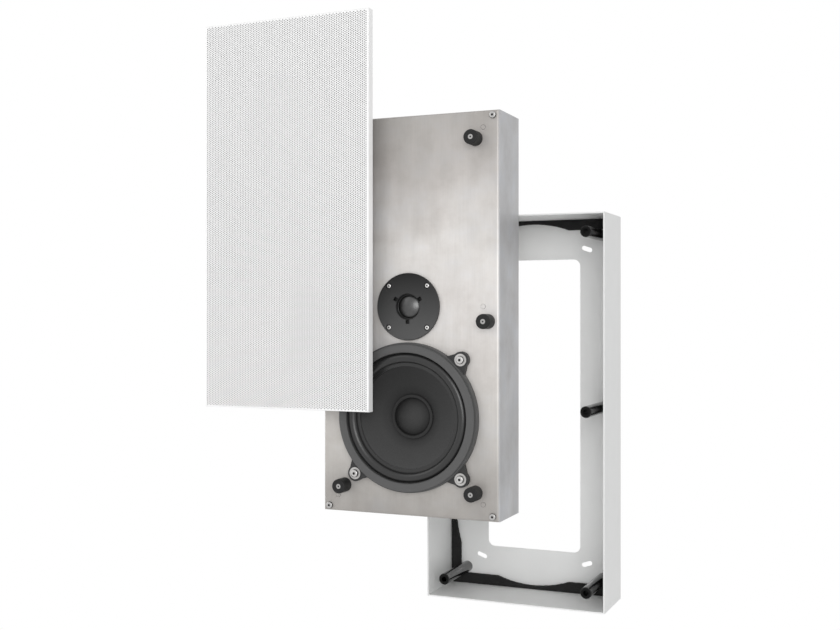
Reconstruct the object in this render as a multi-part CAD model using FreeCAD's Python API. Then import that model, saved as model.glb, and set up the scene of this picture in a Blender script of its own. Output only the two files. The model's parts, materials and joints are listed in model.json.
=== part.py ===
import FreeCAD, Part
import math
import os

os.makedirs("parts", exist_ok=True)

# Driving dimensions, all in millimetres
# X runs to the right seen from the front, Y runs back to the wall, Z runs up

# Outline shared by the grille, the cabinet and the wall frame
UNIT_WIDTH = 210.0
UNIT_HEIGHT = 440.0
SEAT_GAP = 0.3

# Way from the fitted place to the place the photograph shows
CABINET_LIFT = (-95.0, -10.0, 106.0)
GRILLE_LIFT = (-139.0, -3.5, 115.0)

# Wall frame
FRAME_DEPTH = 78.0
FRAME_SHEET = 1.5
FRAME_BEND = 2.2
FLANGE_WIDTH = 48.0
FLANGE_CORNER = 8.0
SLOT_INSET_X = 40.0
SLOT_INSET_Z = 36.0
SLOT_LENGTH = 13.0
SLOT_WIDTH = 5.2

# Posts in the wall frame
FRAME_POST_RADIUS = 6.5
FRAME_POST_HOLE_RADIUS = 3.0
FRAME_POST_HOLE_DEPTH = 12.0
FRAME_POST_RIM = 0.8
FRAME_SCREW_RADIUS = 2.5
FRAME_SCREW_LENGTH = 14.0
FRAME_SCREW_HEAD_RADIUS = 4.6

# Foam lining on the flange
FOAM_WIDTH = 12.5
FOAM_THICKNESS = 5.0
FOAM_CLEARANCE = 0.5
FOAM_ARC_CHORD = 88.0
FOAM_ARC_RISE = 8.0
FOAM_SIDE_CHORD = 125.0
FOAM_SIDE_SHARE = 0.49

# Cabinet of folded sheet
CABINET_DEPTH = 66.0
CABINET_SHEET = 1.5
CABINET_BEND = 2.6
BACK_SEAL = 0.5
BACK_FLANGE = 12.0
BACK_NOTCH = 14.0
BACK_BEND = 2.0
BACK_SEAL_WIDTH = 8.0

# Corner bolts and their pillars
CORNER_INSET_X = 7.2
CORNER_INSET_Z = 5.6
CORNER_HEAD_RADIUS = 3.8
CORNER_HEAD_HEIGHT = 2.2
CORNER_BOLT_RADIUS = 1.6
CORNER_BOLT_REACH = 18.0
PILLAR_RADIUS = 2.9
PILLAR_SPIGOT_RADIUS = 2.2

# Posts on the cabinet's front
FRONT_POST_RADIUS = 8.0
FRONT_POST_LENGTH = 17.0
FRONT_POST_BESIDE_EAR = 15.4
FRONT_POST_INSET_Z = 30.0
FRONT_POST_MID_INSET = 12.6
FRONT_POST_MID_DROP = 16.0
FRONT_POST_ROUND = 1.2
FRONT_SCREW_RADIUS = 2.0
FRONT_SCREW_HEAD_RADIUS = 2.7
FRONT_SCREW_HEAD_HEIGHT = 3.0
FRONT_SCREW_SINK = 0.4
FRONT_NUT_FLATS = 7.0
FRONT_NUT_HEIGHT = 3.2
SCREW_CLEARANCE = 0.2

# Pressed-in studs of the cabinet's front
STUD_INSET = 18.0
STUD_HEAD_RADIUS = 2.5
STUD_PROUD = 0.25
STUD_RADIUS = 1.5
STUD_LENGTH = 8.0
STUD_SEAM = 0.3
STUD_COLLAR_RADIUS = 3.8
STUD_COLLAR_HEIGHT = 0.8

# Woofer
WOOFER_FOOT = 26.0
WOOFER_SEAL = 1.0
WOOFER_FLANGE_STEP = 1.9
WOOFER_FLANGE_THICKNESS = 4.0
WOOFER_TRIM_STEP = 1.0
WOOFER_TRIM_WIDTH = 9.0
WOOFER_TRIM_HEIGHT = 6.0
WOOFER_TRIM_CHAMFER = 0.8
WOOFER_TRIM_FOOT = 2.6
WOOFER_TRIM_FOOT_STEP = 0.2
WOOFER_TRIM_GROOVE_DEPTH = 0.9
WOOFER_TRIM_GROOVE_WIDTH = 0.9
WOOFER_EAR_ANGLE = 45.5
WOOFER_EAR_RADIUS = 9.0
WOOFER_EAR_SPREAD = 10.5
WOOFER_EAR_ROOT = 1.0
BASKET_INNER = 70.5
BASKET_WALL = 2.5
BASKET_WALL_DEPTH = 7.0
BASKET_ARMS = 6
BASKET_ARM_WIDTH = 15.0
BASKET_ARM_ROOT = 1.0
BASKET_ARM_FOOT = 3.0
BASKET_RING_INNER = 40.0
BASKET_RING_OUTER = 50.0
BASKET_RING_FRONT = 24.0
BASKET_DEPTH = 30.0
BAFFLE_CLEARANCE = 0.5
ROLL_RADIUS = 5.0
SURROUND_THICKNESS = 0.8
SURROUND_LIP = 4.0
CONE_RIM_WIDTH = 5.5
CONE_THICKNESS = 0.8
CONE_NECK_THICKNESS = 0.96
CONE_DEPTH = 19.5
CAP_RADIUS = 20.4
CAP_LIP = 4.0
CAP_LIP_HEIGHT = 2.0
CAP_GROOVE = 0.9
CAP_HEIGHT = 7.0
CAP_THICKNESS = 0.6
CAP_INSIDE = 0.2
COIL_RADIUS = 16.3
FORMER_THICKNESS = 0.4
COIL_WINDING = 0.7
COIL_HEIGHT = 10.0
COIL_END = 38.0
SPIDER_THICKNESS = 0.5
SPIDER_WAVE = 1.2
SPIDER_WAVES = 4
SPIDER_SEAT = 4.0
SPIDER_EDGE = 1.0
GAP_CLEARANCE = 0.7
TOP_PLATE_RADIUS = 46.0
TOP_PLATE_THICKNESS = 5.0
MAGNET_RADIUS = 50.0
MAGNET_INNER = 27.0
MAGNET_THICKNESS = 15.0
YOKE_THICKNESS = 5.0
POLE_VENT_RADIUS = 5.0
WASHER_RADIUS = 6.7
WASHER_THICKNESS = 1.2
WASHER_CLEARANCE = 2.75
WOOFER_SCREW_RADIUS = 2.5
WOOFER_SCREW_HEAD_RADIUS = 4.3
WOOFER_SCREW_HEAD_HEIGHT = 2.8
WOOFER_NUT_RADIUS = 4.5
WOOFER_NUT_HEIGHT = 5.0

# Tweeter
DRIVER_GAP = 2.2
TWEETER_SEAL = 0.5
TWEETER_RADIUS = 37.0
TWEETER_THICKNESS = 3.0
TWEETER_EDGE = 0.8
TWEETER_OPENING = 13.9
TWEETER_DISH_RADIUS = 14.6
TWEETER_DISH_DEPTH = 1.6
TWEETER_BOSS_RADIUS = 27.5
TWEETER_BOSS_DEPTH = 1.5
TWEETER_LIP_RADIUS = 19.0
TWEETER_FILM = 0.4
DOME_RADIUS = 12.9
DOME_HEIGHT = 4.0
DOME_ROLL_RISE = 0.15
DOME_ROLL_INSET = 0.2
TWEETER_SCREW_CIRCLE = 32.4
TWEETER_SCREW_RADIUS = 1.75
TWEETER_SCREW_HEAD_RADIUS = 2.6
TWEETER_SCREW_HEAD_HEIGHT = 1.9
TWEETER_SCREW_SINK = 0.3
TWEETER_SCREW_ROOM = 0.7
TWEETER_SCREW_LENGTH = 10.0
TWEETER_NOTCH_RADIUS = 16.6
TWEETER_NOTCH_WIDTH = 4.6
TWEETER_NOTCH_LENGTH = 4.4
TWEETER_NOTCH_DEPTH = 1.9
TWEETER_MOTOR_RADIUS = 26.0
TWEETER_PLATE_THICKNESS = 3.0
TWEETER_MAGNET_INNER = 16.0
TWEETER_MAGNET_THICKNESS = 10.0
TWEETER_YOKE_THICKNESS = 4.0
TWEETER_COIL_HEIGHT = 6.0
TWEETER_COIL_THICKNESS = 0.4
TWEETER_GAP = 0.6

# Terminal cup in the back panel
CUP_DROP = 125.0
CUP_WIDTH = 66.0
CUP_HEIGHT = 46.0
CUP_DEPTH = 22.0
CUP_WALL = 2.0
CUP_FLANGE = 6.0
CUP_SCREW_RADIUS = 1.4
CUP_SCREW_HEAD_RADIUS = 2.4
CUP_SCREW_HEAD_HEIGHT = 1.4
CUP_SCREW_LENGTH = 8.0
TERMINAL_SPACING = 32.0
TERMINAL_RADIUS = 6.0
TERMINAL_LENGTH = 15.0
TERMINAL_STUD_RADIUS = 2.0
TERMINAL_STUD_LENGTH = 8.0

# Crossover on the back panel
BOARD_DROP = 55.0
BOARD_WIDTH = 110.0
BOARD_HEIGHT = 60.0
BOARD_THICKNESS = 1.6
BOARD_SPACER_RADIUS = 3.0
BOARD_SPACER_LENGTH = 6.0
BOARD_SPACER_INSET = 6.0
BOARD_MARGIN = 2.0
COIL_WOOFER_RADIUS = 17.0
COIL_WOOFER_HEIGHT = 16.0
COIL_TWEETER_RADIUS = 12.0
COIL_TWEETER_HEIGHT = 13.0
COIL_CORE_SHARE = 0.45
CAPACITOR_RADIUS = 8.0
CAPACITOR_LENGTH = 30.0
RESISTOR_SIDE = 9.0
RESISTOR_LENGTH = 25.0

# Damping pad behind the front
PAD_WIDTH = 128.0
PAD_GAP = 11.0
PAD_INSET = 14.0
PAD_THICKNESS = 14.0

# Grille
GRILLE_DEPTH = 10.5
GRILLE_SHEET = 1.0
GRILLE_BEND = 1.6
CLOTH_THICKNESS = 0.4
CLOTH_GAP = 0.2
GRILLE_MAGNET_RADIUS = 7.0

# Inner leads
LEAD_RADIUS = 1.1
LEAD_END_GAP = 0.05
LEAD_BEND = 9.0
LEAD_TERMINAL_X = 9.5
LEAD_TERMINAL_RISE = 6.0
LEAD_TWEETER_X = 2.5
LEAD_TWEETER_RISE = 15.0
LEAD_WOOFER_X = 6.0
LEAD_WOOFER_RISE = 25.0
LEAD_RUN_DEPTH = 28.0

# Sockets in the screw heads, as shares of the head
SOCKET_DEPTH = 0.8
SOCKET_FLATS = 0.66
HEAD_ROUND = 0.45

# Places that follow from the dimensions above
HALF_WIDTH = UNIT_WIDTH / 2
HALF_HEIGHT = UNIT_HEIGHT / 2
BACK_INNER = CABINET_DEPTH - CABINET_SHEET
SLOT_SPACING_X = UNIT_WIDTH - 2 * SLOT_INSET_X
SLOT_SPACING_Z = UNIT_HEIGHT - 2 * SLOT_INSET_Z
FRAME_POST_INSET = FRAME_SHEET + FOAM_WIDTH + FOAM_CLEARANCE + FRAME_POST_RADIUS
FRAME_POST_X = HALF_WIDTH - FRAME_POST_INSET
FRAME_POST_Z = HALF_HEIGHT - FRAME_POST_INSET
WOOFER_TRIM_INNER = BASKET_INNER + WOOFER_TRIM_STEP
WOOFER_TRIM_RADIUS = WOOFER_TRIM_INNER + WOOFER_TRIM_WIDTH
WOOFER_FLANGE_RADIUS = WOOFER_TRIM_RADIUS + WOOFER_FLANGE_STEP
WOOFER_EAR_CIRCLE = WOOFER_TRIM_RADIUS + WASHER_CLEARANCE + WASHER_RADIUS
WOOFER_EAR_X = WOOFER_EAR_CIRCLE * math.cos(math.radians(WOOFER_EAR_ANGLE))
WOOFER_EAR_Z = WOOFER_EAR_CIRCLE * math.sin(math.radians(WOOFER_EAR_ANGLE))
WOOFER_Z = -HALF_HEIGHT + WOOFER_FOOT + WOOFER_FLANGE_RADIUS
TWEETER_Z = WOOFER_Z + WOOFER_FLANGE_RADIUS + DRIVER_GAP + TWEETER_RADIUS
FRONT_POST_X = WOOFER_EAR_X + FRONT_POST_BESIDE_EAR
FRONT_POST_Z = HALF_HEIGHT - FRONT_POST_INSET_Z
FRONT_POST_MID_X = HALF_WIDTH - FRONT_POST_MID_INSET
FRONT_POST_MID_Z = TWEETER_Z - FRONT_POST_MID_DROP
STUD_X = HALF_WIDTH - STUD_INSET
STUD_Z = HALF_HEIGHT - STUD_INSET
CUP_Z = HALF_HEIGHT - CUP_DROP
BOARD_Z = HALF_HEIGHT - BOARD_DROP
PAD_BOTTOM = TWEETER_Z + TWEETER_RADIUS + PAD_GAP
PAD_TOP = HALF_HEIGHT - PAD_INSET
CABINET_FRONT = -(FRAME_DEPTH + SEAT_GAP + CABINET_DEPTH)
GRILLE_FRONT = CABINET_FRONT - FRONT_POST_LENGTH - SEAT_GAP - GRILLE_DEPTH
CABINET_PLACE = (CABINET_LIFT[0], CABINET_FRONT + CABINET_LIFT[1], CABINET_LIFT[2])
GRILLE_PLACE = (CABINET_LIFT[0] + GRILLE_LIFT[0],
                GRILLE_FRONT + CABINET_LIFT[1] + GRILLE_LIFT[1],
                CABINET_LIFT[2] + GRILLE_LIFT[2])
SIDES = {"left": -1, "right": 1}
HEIGHTS = {"top": 1, "mid": 0, "bottom": -1}


def point(x, y, z):
    return FreeCAD.Vector(x, y, z)


def block(x0, x1, y0, y1, z0, z1):
    return Part.makeBox(x1 - x0, y1 - y0, z1 - z0, point(x0, y0, z0))


def rod(x, z, y0, y1, radius):
    return Part.makeCylinder(radius, y1 - y0, point(x, y0, z), point(0, 1, 0))


def tube(x, z, y0, y1, outer, inner):
    return rod(x, z, y0, y1, outer).cut(rod(x, z, y0, y1, inner))


def taper(x, z, y0, y1, radius0, radius1):
    return Part.makeCone(radius0, radius1, y1 - y0, point(x, y0, z), point(0, 1, 0))


def line(a, b):
    return Part.makeLine(point(a[0], a[1], 0), point(b[0], b[1], 0))


def arc(a, b, c):
    return Part.Arc(point(a[0], a[1], 0), point(b[0], b[1], 0), point(c[0], c[1], 0)).toShape()


def turned_edges(x, z, edges):
    face = Part.Face(Part.Wire(edges))
    solid = face.revolve(point(0, 0, 0), point(0, 1, 0), 360)
    solid.translate(point(x, 0, z))
    return solid


def turned(x, z, corners):
    edges = [line(a, b) for a, b in zip(corners, corners[1:] + corners[:1])]
    return turned_edges(x, z, edges)


def hexagon(x, z, y0, y1, flats):
    radius = flats / math.sqrt(3)
    corners = [point(x + radius * math.cos(math.radians(60 * k)), y0,
                     z + radius * math.sin(math.radians(60 * k))) for k in range(7)]
    return Part.Face(Part.makePolygon(corners)).extrude(point(0, y1 - y0, 0))


def plate(corners, y0, y1):
    loop = [point(x, y0, z) for x, z in corners]
    return Part.Face(Part.makePolygon(loop + loop[:1])).extrude(point(0, y1 - y0, 0))


def soften(solid, y_plane, radius):
    edges = [e for e in solid.Edges
             if len(e.Vertexes) == 2 and all(abs(v.Y - y_plane) < 0.001 for v in e.Vertexes)]
    return solid.makeFillet(radius, edges)


def tray(width, height, y_face, y_open, sheet, bend):
    side = 1 if y_open > y_face else -1
    inner_face = y_face + side * sheet
    outer = block(-width / 2, width / 2, min(y_face, y_open), max(y_face, y_open), -height / 2, height / 2)
    outer = soften(outer, y_face, bend)
    past = y_open + side
    inner = block(-width / 2 + sheet, width / 2 - sheet, min(inner_face, past), max(inner_face, past),
                  -height / 2 + sheet, height / 2 - sheet)
    inner = soften(inner, inner_face, bend - sheet)
    return outer.cut(inner)


def joined(solids):
    result = solids[0]
    for solid in solids[1:]:
        result = result.fuse(solid)
    return result.removeSplitter()


def without(solid, tools):
    for tool in tools:
        solid = solid.cut(tool)
    return solid


def socket_screw(x, z, seat, head_radius, head_height, radius, reach, rounded):
    top = seat - head_height
    head = rod(x, z, top, seat, head_radius)
    if rounded:
        rim = [e for e in head.Edges if abs(e.CenterOfMass.y - top) < 0.001 and e.isClosed()]
        head = head.makeFillet(head_height * HEAD_ROUND, rim)
    screw = head.fuse(rod(x, z, seat, seat + reach, radius))
    return screw.cut(hexagon(x, z, top, top + head_height * SOCKET_DEPTH, head_radius * SOCKET_FLATS))


def write(name, shapes, place):
    shape = Part.makeCompound(shapes) if len(shapes) > 1 else shapes[0]
    shape.translate(point(*place))
    shape.exportStep("parts/" + name + ".step")


HOME = (0.0, 0.0, 0.0)

# Wall frame
wall_frame = tray(UNIT_WIDTH, UNIT_HEIGHT, 0.0, -FRAME_DEPTH, FRAME_SHEET, FRAME_BEND)
opening_x = HALF_WIDTH - FLANGE_WIDTH
opening_z = HALF_HEIGHT - FLANGE_WIDTH
flange_opening = block(-opening_x, opening_x, -2 * FRAME_SHEET, FRAME_SHEET, -opening_z, opening_z)
upright = [e for e in flange_opening.Edges if abs(e.Vertexes[0].Y - e.Vertexes[-1].Y) > 0.001]
wall_frame = wall_frame.cut(flange_opening.makeFillet(FLANGE_CORNER, upright))
slot_tilt = math.degrees(math.atan2(SLOT_SPACING_X, SLOT_SPACING_Z))
for side in SIDES.values():
    for level in (1, -1):
        run = (SLOT_LENGTH - SLOT_WIDTH) / 2
        slot = joined([block(-run, run, -2 * FRAME_SHEET, FRAME_SHEET, -SLOT_WIDTH / 2, SLOT_WIDTH / 2),
                       rod(-run, 0, -2 * FRAME_SHEET, FRAME_SHEET, SLOT_WIDTH / 2),
                       rod(run, 0, -2 * FRAME_SHEET, FRAME_SHEET, SLOT_WIDTH / 2)])
        slot.rotate(point(0, 0, 0), point(0, 1, 0), side * level * slot_tilt)
        slot.translate(point(side * SLOT_SPACING_X / 2, 0, level * SLOT_SPACING_Z / 2))
        wall_frame = wall_frame.cut(slot)

# Posts in the wall frame and the screws that hold them from behind
flange_front = -FRAME_SHEET
frame_screws = []
for height_name, level in HEIGHTS.items():
    for side_name, side in SIDES.items():
        x = side * FRAME_POST_X
        z = level * FRAME_POST_Z
        post = rod(x, z, -FRAME_DEPTH, flange_front, FRAME_POST_RADIUS)
        rim = [e for e in post.Edges if abs(e.CenterOfMass.y + FRAME_DEPTH) < 0.001 and e.isClosed()]
        post = post.makeChamfer(FRAME_POST_RIM, rim)
        post = post.cut(rod(x, z, -FRAME_DEPTH, -FRAME_DEPTH + FRAME_POST_HOLE_DEPTH, FRAME_POST_HOLE_RADIUS))
        post = post.cut(rod(x, z, flange_front - FRAME_SCREW_LENGTH, flange_front, FRAME_SCREW_RADIUS))
        write("frame_post_" + height_name + "_" + side_name, [post], HOME)
        sink = taper(x, z, flange_front, 0.0, FRAME_SCREW_RADIUS, FRAME_SCREW_HEAD_RADIUS)
        wall_frame = wall_frame.cut(sink)
        shank = rod(x, z, flange_front - FRAME_SCREW_LENGTH, flange_front, FRAME_SCREW_RADIUS)
        frame_screws.append(sink.fuse(shank).removeSplitter())
write("wall_frame", [wall_frame], HOME)
write("frame_post_screws", frame_screws, HOME)

# Foam lining with shallow arcs cut from its four strips
foam_x = HALF_WIDTH - FRAME_SHEET
foam_z = HALF_HEIGHT - FRAME_SHEET
foam_y = flange_front - FOAM_THICKNESS
foam = block(-foam_x, foam_x, foam_y, flange_front, -foam_z, foam_z)
foam = foam.cut(block(-foam_x + FOAM_WIDTH, foam_x - FOAM_WIDTH, foam_y, flange_front,
                      -foam_z + FOAM_WIDTH, foam_z - FOAM_WIDTH))
arc_radius = (FOAM_ARC_CHORD ** 2 / 4 + FOAM_ARC_RISE ** 2) / (2 * FOAM_ARC_RISE)
arc_centre = foam_z - FOAM_WIDTH + FOAM_ARC_RISE - arc_radius
for level in (1, -1):
    cutter = rod(0, level * arc_centre, foam_y, flange_front, arc_radius)
    middle = block(-FOAM_ARC_CHORD / 2, FOAM_ARC_CHORD / 2, foam_y, flange_front,
                   min(0, level * foam_z), max(0, level * foam_z))
    foam = foam.cut(cutter.common(middle))
side_radius = (FOAM_SIDE_CHORD ** 2 / 4 + FOAM_ARC_RISE ** 2) / (2 * FOAM_ARC_RISE)
side_centre = foam_x - FOAM_WIDTH + FOAM_ARC_RISE - side_radius
side_z = FOAM_SIDE_SHARE * HALF_HEIGHT
for side in SIDES.values():
    for level in (1, -1):
        cutter = rod(side * side_centre, level * side_z, foam_y, flange_front, side_radius)
        middle = block(min(0, side * foam_x), max(0, side * foam_x), foam_y, flange_front,
                       level * side_z - FOAM_SIDE_CHORD / 2, level * side_z + FOAM_SIDE_CHORD / 2)
        foam = foam.cut(cutter.common(middle))
flange_rim = tray(UNIT_WIDTH, UNIT_HEIGHT, 0.0, -FRAME_DEPTH, FRAME_SHEET, FRAME_BEND)
foam = foam.cut(flange_rim)
write("foam_lining", [foam], HOME)

# Places of the six posts on the cabinet's front
front_posts = {}
for height_name, level in HEIGHTS.items():
    for side_name, side in SIDES.items():
        x = FRONT_POST_X if level else FRONT_POST_MID_X
        z = level * FRONT_POST_Z if level else FRONT_POST_MID_Z
        front_posts[height_name + "_" + side_name] = (side * x, z)
studs = [(side * STUD_X, z) for side in SIDES.values() for z in (STUD_Z, TWEETER_Z, -STUD_Z)]
corners = [(side * (HALF_WIDTH - CORNER_INSET_X), level * (HALF_HEIGHT - CORNER_INSET_Z))
           for side in SIDES.values() for level in (1, -1)]
ears = [(side * WOOFER_EAR_X, WOOFER_Z + level * WOOFER_EAR_Z)
        for side in SIDES.values() for level in (1, -1)]
tweeter_screw_places = [(TWEETER_SCREW_CIRCLE * math.cos(math.radians(45 + 90 * k)),
                         TWEETER_Z + TWEETER_SCREW_CIRCLE * math.sin(math.radians(45 + 90 * k)))
                        for k in range(4)]

# Folded cabinet: front and four sides in one sheet
through = 2 * CABINET_SHEET
shell = tray(UNIT_WIDTH, UNIT_HEIGHT, 0.0, CABINET_DEPTH, CABINET_SHEET, CABINET_BEND)
basket_outer = BASKET_INNER + BASKET_WALL
holes = [rod(0, WOOFER_Z, -1, through, basket_outer + BAFFLE_CLEARANCE),
         rod(0, TWEETER_Z, -1, through, TWEETER_BOSS_RADIUS + BAFFLE_CLEARANCE)]
holes += [rod(x, z, -1, through, FRONT_SCREW_RADIUS + SCREW_CLEARANCE) for x, z in front_posts.values()]
holes += [rod(x, z, -1, through, CORNER_BOLT_RADIUS + SCREW_CLEARANCE) for x, z in corners]
holes += [rod(x, z, -1, through, WOOFER_SCREW_RADIUS + SCREW_CLEARANCE) for x, z in ears]
holes += [rod(x, z, -1, through, TWEETER_SCREW_RADIUS) for x, z in tweeter_screw_places]
holes += [rod(x, z, -1, through, STUD_HEAD_RADIUS + STUD_SEAM) for x, z in studs]
shell = without(shell, holes)
write("cabinet_shell", [shell], CABINET_PLACE)

# Back panel: a shallow tray inside the rear edge, with open corners
back_width = UNIT_WIDTH - 2 * (CABINET_SHEET + BACK_SEAL)
back_height = UNIT_HEIGHT - 2 * (CABINET_SHEET + BACK_SEAL)
back_front = CABINET_DEPTH - BACK_FLANGE
back = tray(back_width, back_height, CABINET_DEPTH, back_front, CABINET_SHEET, BACK_BEND)
for side in SIDES.values():
    for level in (1, -1):
        notch_x = side * back_width / 2
        notch_z = level * back_height / 2
        back = back.cut(block(notch_x - BACK_NOTCH, notch_x + BACK_NOTCH, back_front - 1,
                              BACK_INNER, notch_z - BACK_NOTCH, notch_z + BACK_NOTCH))
cup_x = CUP_WIDTH / 2
cup_z = CUP_HEIGHT / 2
cup_screws = [(side * (cup_x + CUP_FLANGE / 2), CUP_Z + level * (cup_z + CUP_FLANGE / 2))
              for side in SIDES.values() for level in (1, -1)]
back = back.cut(block(-cup_x, cup_x, BACK_INNER - 1, CABINET_DEPTH + 1, CUP_Z - cup_z, CUP_Z + cup_z))
back = without(back, [rod(x, z, BACK_INNER - 1, CABINET_DEPTH + 1, CUP_SCREW_RADIUS) for x, z in cup_screws])
back = without(back, [rod(x, z, BACK_INNER - 1, CABINET_DEPTH + 1, PILLAR_SPIGOT_RADIUS) for x, z in corners])
write("back_panel", [back], CABINET_PLACE)

# Seal around the back panel
seal_y1 = CABINET_DEPTH - BACK_BEND
seal_y0 = seal_y1 - BACK_SEAL_WIDTH
inner_x = HALF_WIDTH - CABINET_SHEET
inner_z = HALF_HEIGHT - CABINET_SHEET
seal = block(-inner_x, inner_x, seal_y0, seal_y1, -inner_z, inner_z)
seal = seal.cut(block(-back_width / 2, back_width / 2, seal_y0, seal_y1, -back_height / 2, back_height / 2))
write("back_seal", [seal], CABINET_PLACE)

# Corner pillars fixed in the back panel, and the bolts that hold the front on them
pillars = []
corner_bolts = []
for x, z in corners:
    pillar = rod(x, z, CABINET_SHEET, BACK_INNER, PILLAR_RADIUS)
    pillar = pillar.fuse(rod(x, z, BACK_INNER, CABINET_DEPTH, PILLAR_SPIGOT_RADIUS))
    pillars.append(pillar.cut(rod(x, z, CABINET_SHEET, CABINET_SHEET + CORNER_BOLT_REACH, CORNER_BOLT_RADIUS)))
    corner_bolts.append(socket_screw(x, z, 0.0, CORNER_HEAD_RADIUS, CORNER_HEAD_HEIGHT, CORNER_BOLT_RADIUS,
                                     CABINET_SHEET + CORNER_BOLT_REACH, True))
write("corner_pillars", pillars, CABINET_PLACE)
write("corner_bolts", corner_bolts, CABINET_PLACE)

# Posts on the cabinet's front with their screws and nuts
post_screws = []
post_nuts = []
seat = -FRONT_POST_LENGTH + FRONT_SCREW_SINK + FRONT_SCREW_HEAD_HEIGHT
nut_end = CABINET_SHEET + FRONT_NUT_HEIGHT
for name, (x, z) in front_posts.items():
    post = rod(x, z, -FRONT_POST_LENGTH, 0.0, FRONT_POST_RADIUS)
    rim = [e for e in post.Edges if abs(e.CenterOfMass.y + FRONT_POST_LENGTH) < 0.001 and e.isClosed()]
    post = post.makeFillet(FRONT_POST_ROUND, rim)
    post = post.cut(rod(x, z, -FRONT_POST_LENGTH, seat, FRONT_SCREW_HEAD_RADIUS + SCREW_CLEARANCE))
    post = post.cut(rod(x, z, seat, 0.0, FRONT_SCREW_RADIUS + SCREW_CLEARANCE))
    write("front_post_" + name, [post], CABINET_PLACE)
    post_screws.append(socket_screw(x, z, seat, FRONT_SCREW_HEAD_RADIUS, FRONT_SCREW_HEAD_HEIGHT,
                                    FRONT_SCREW_RADIUS, nut_end - seat, False))
    nut = hexagon(x, z, CABINET_SHEET, nut_end, FRONT_NUT_FLATS)
    post_nuts.append(nut.cut(rod(x, z, CABINET_SHEET, nut_end, FRONT_SCREW_RADIUS)))
write("front_post_screws", post_screws, CABINET_PLACE)
write("front_post_nuts", post_nuts, CABINET_PLACE)

# Pressed-in studs, each with a collar behind the sheet
collar_end = CABINET_SHEET + STUD_COLLAR_HEIGHT
stud_solids = [joined([rod(x, z, -STUD_PROUD, CABINET_SHEET, STUD_HEAD_RADIUS),
                       rod(x, z, CABINET_SHEET, collar_end, STUD_COLLAR_RADIUS),
                       rod(x, z, collar_end, CABINET_SHEET + STUD_LENGTH, STUD_RADIUS)]) for x, z in studs]
write("baffle_studs", stud_solids, CABINET_PLACE)


def eared_plate(y0, y1):
    solids = [rod(0, WOOFER_Z, y0, y1, WOOFER_FLANGE_RADIUS)]
    spread = math.radians(WOOFER_EAR_SPREAD)
    for ear_x, ear_z in ears:
        dz = ear_z - WOOFER_Z
        angle = math.atan2(dz, ear_x)
        reach = WOOFER_FLANGE_RADIUS - WOOFER_EAR_ROOT
        nx = -math.sin(angle) * WOOFER_EAR_RADIUS
        nz = math.cos(angle) * WOOFER_EAR_RADIUS
        base = [(reach * math.cos(angle + s * spread), WOOFER_Z + reach * math.sin(angle + s * spread))
                for s in (-1, 1)]
        tip = [(ear_x + nx, ear_z + nz), (ear_x - nx, ear_z - nz)]
        solids.append(plate([base[0], base[1], tip[0], tip[1]], y0, y1))
        solids.append(rod(ear_x, ear_z, y0, y1, WOOFER_EAR_RADIUS))
    return joined(solids)


# Woofer seal and basket
flange_back = -WOOFER_SEAL
flange_face = flange_back - WOOFER_FLANGE_THICKNESS
ear_holes = [rod(x, z, flange_face - 1, CABINET_SHEET, WOOFER_SCREW_RADIUS + SCREW_CLEARANCE) for x, z in ears]
woofer_seal = eared_plate(flange_back, 0.0)
woofer_seal = without(woofer_seal, ear_holes + [rod(0, WOOFER_Z, flange_back, 0.0, basket_outer + BAFFLE_CLEARANCE)])
write("woofer_seal", [woofer_seal], CABINET_PLACE)

ring_front = flange_back + BASKET_RING_FRONT
basket_back = flange_back + BASKET_DEPTH
wall_back = flange_back + BASKET_WALL_DEPTH
basket = eared_plate(flange_face, flange_back)
basket = basket.fuse(rod(0, WOOFER_Z, flange_back, wall_back, basket_outer))
basket = without(basket, ear_holes + [rod(0, WOOFER_Z, flange_face, wall_back, BASKET_INNER)])
arm_profile = [point(basket_outer, flange_back + BASKET_ARM_ROOT, 0), point(basket_outer, wall_back, 0),
               point(BASKET_RING_OUTER, basket_back, 0), point(BASKET_RING_OUTER - BASKET_ARM_FOOT, basket_back, 0),
               point(BASKET_RING_OUTER - BASKET_ARM_FOOT, ring_front, 0), point(BASKET_INNER, flange_back + BASKET_ARM_ROOT, 0)]
basket_ring = tube(0, WOOFER_Z, ring_front, basket_back, BASKET_RING_OUTER, BASKET_RING_INNER)
for k in range(BASKET_ARMS):
    arm = Part.Face(Part.makePolygon(arm_profile + arm_profile[:1])).extrude(point(0, 0, BASKET_ARM_WIDTH))
    arm.translate(point(0, 0, -BASKET_ARM_WIDTH / 2))
    arm.rotate(point(0, 0, 0), point(0, 1, 0), 360.0 / BASKET_ARMS * k)
    arm.translate(point(0, 0, WOOFER_Z))
    arm = arm.cut(rod(0, WOOFER_Z, flange_face, ring_front, BASKET_RING_OUTER))
    arm = arm.cut(rod(0, WOOFER_Z, flange_face, basket_back, BASKET_RING_INNER))
    basket = basket.fuse(arm.common(rod(0, WOOFER_Z, flange_face, basket_back, basket_outer)))
basket = basket.fuse(basket_ring)
basket = basket.cut(rod(0, WOOFER_Z, flange_face, wall_back - BASKET_WALL, BASKET_INNER)).removeSplitter()
write("woofer_basket", [basket], CABINET_PLACE)

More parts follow.
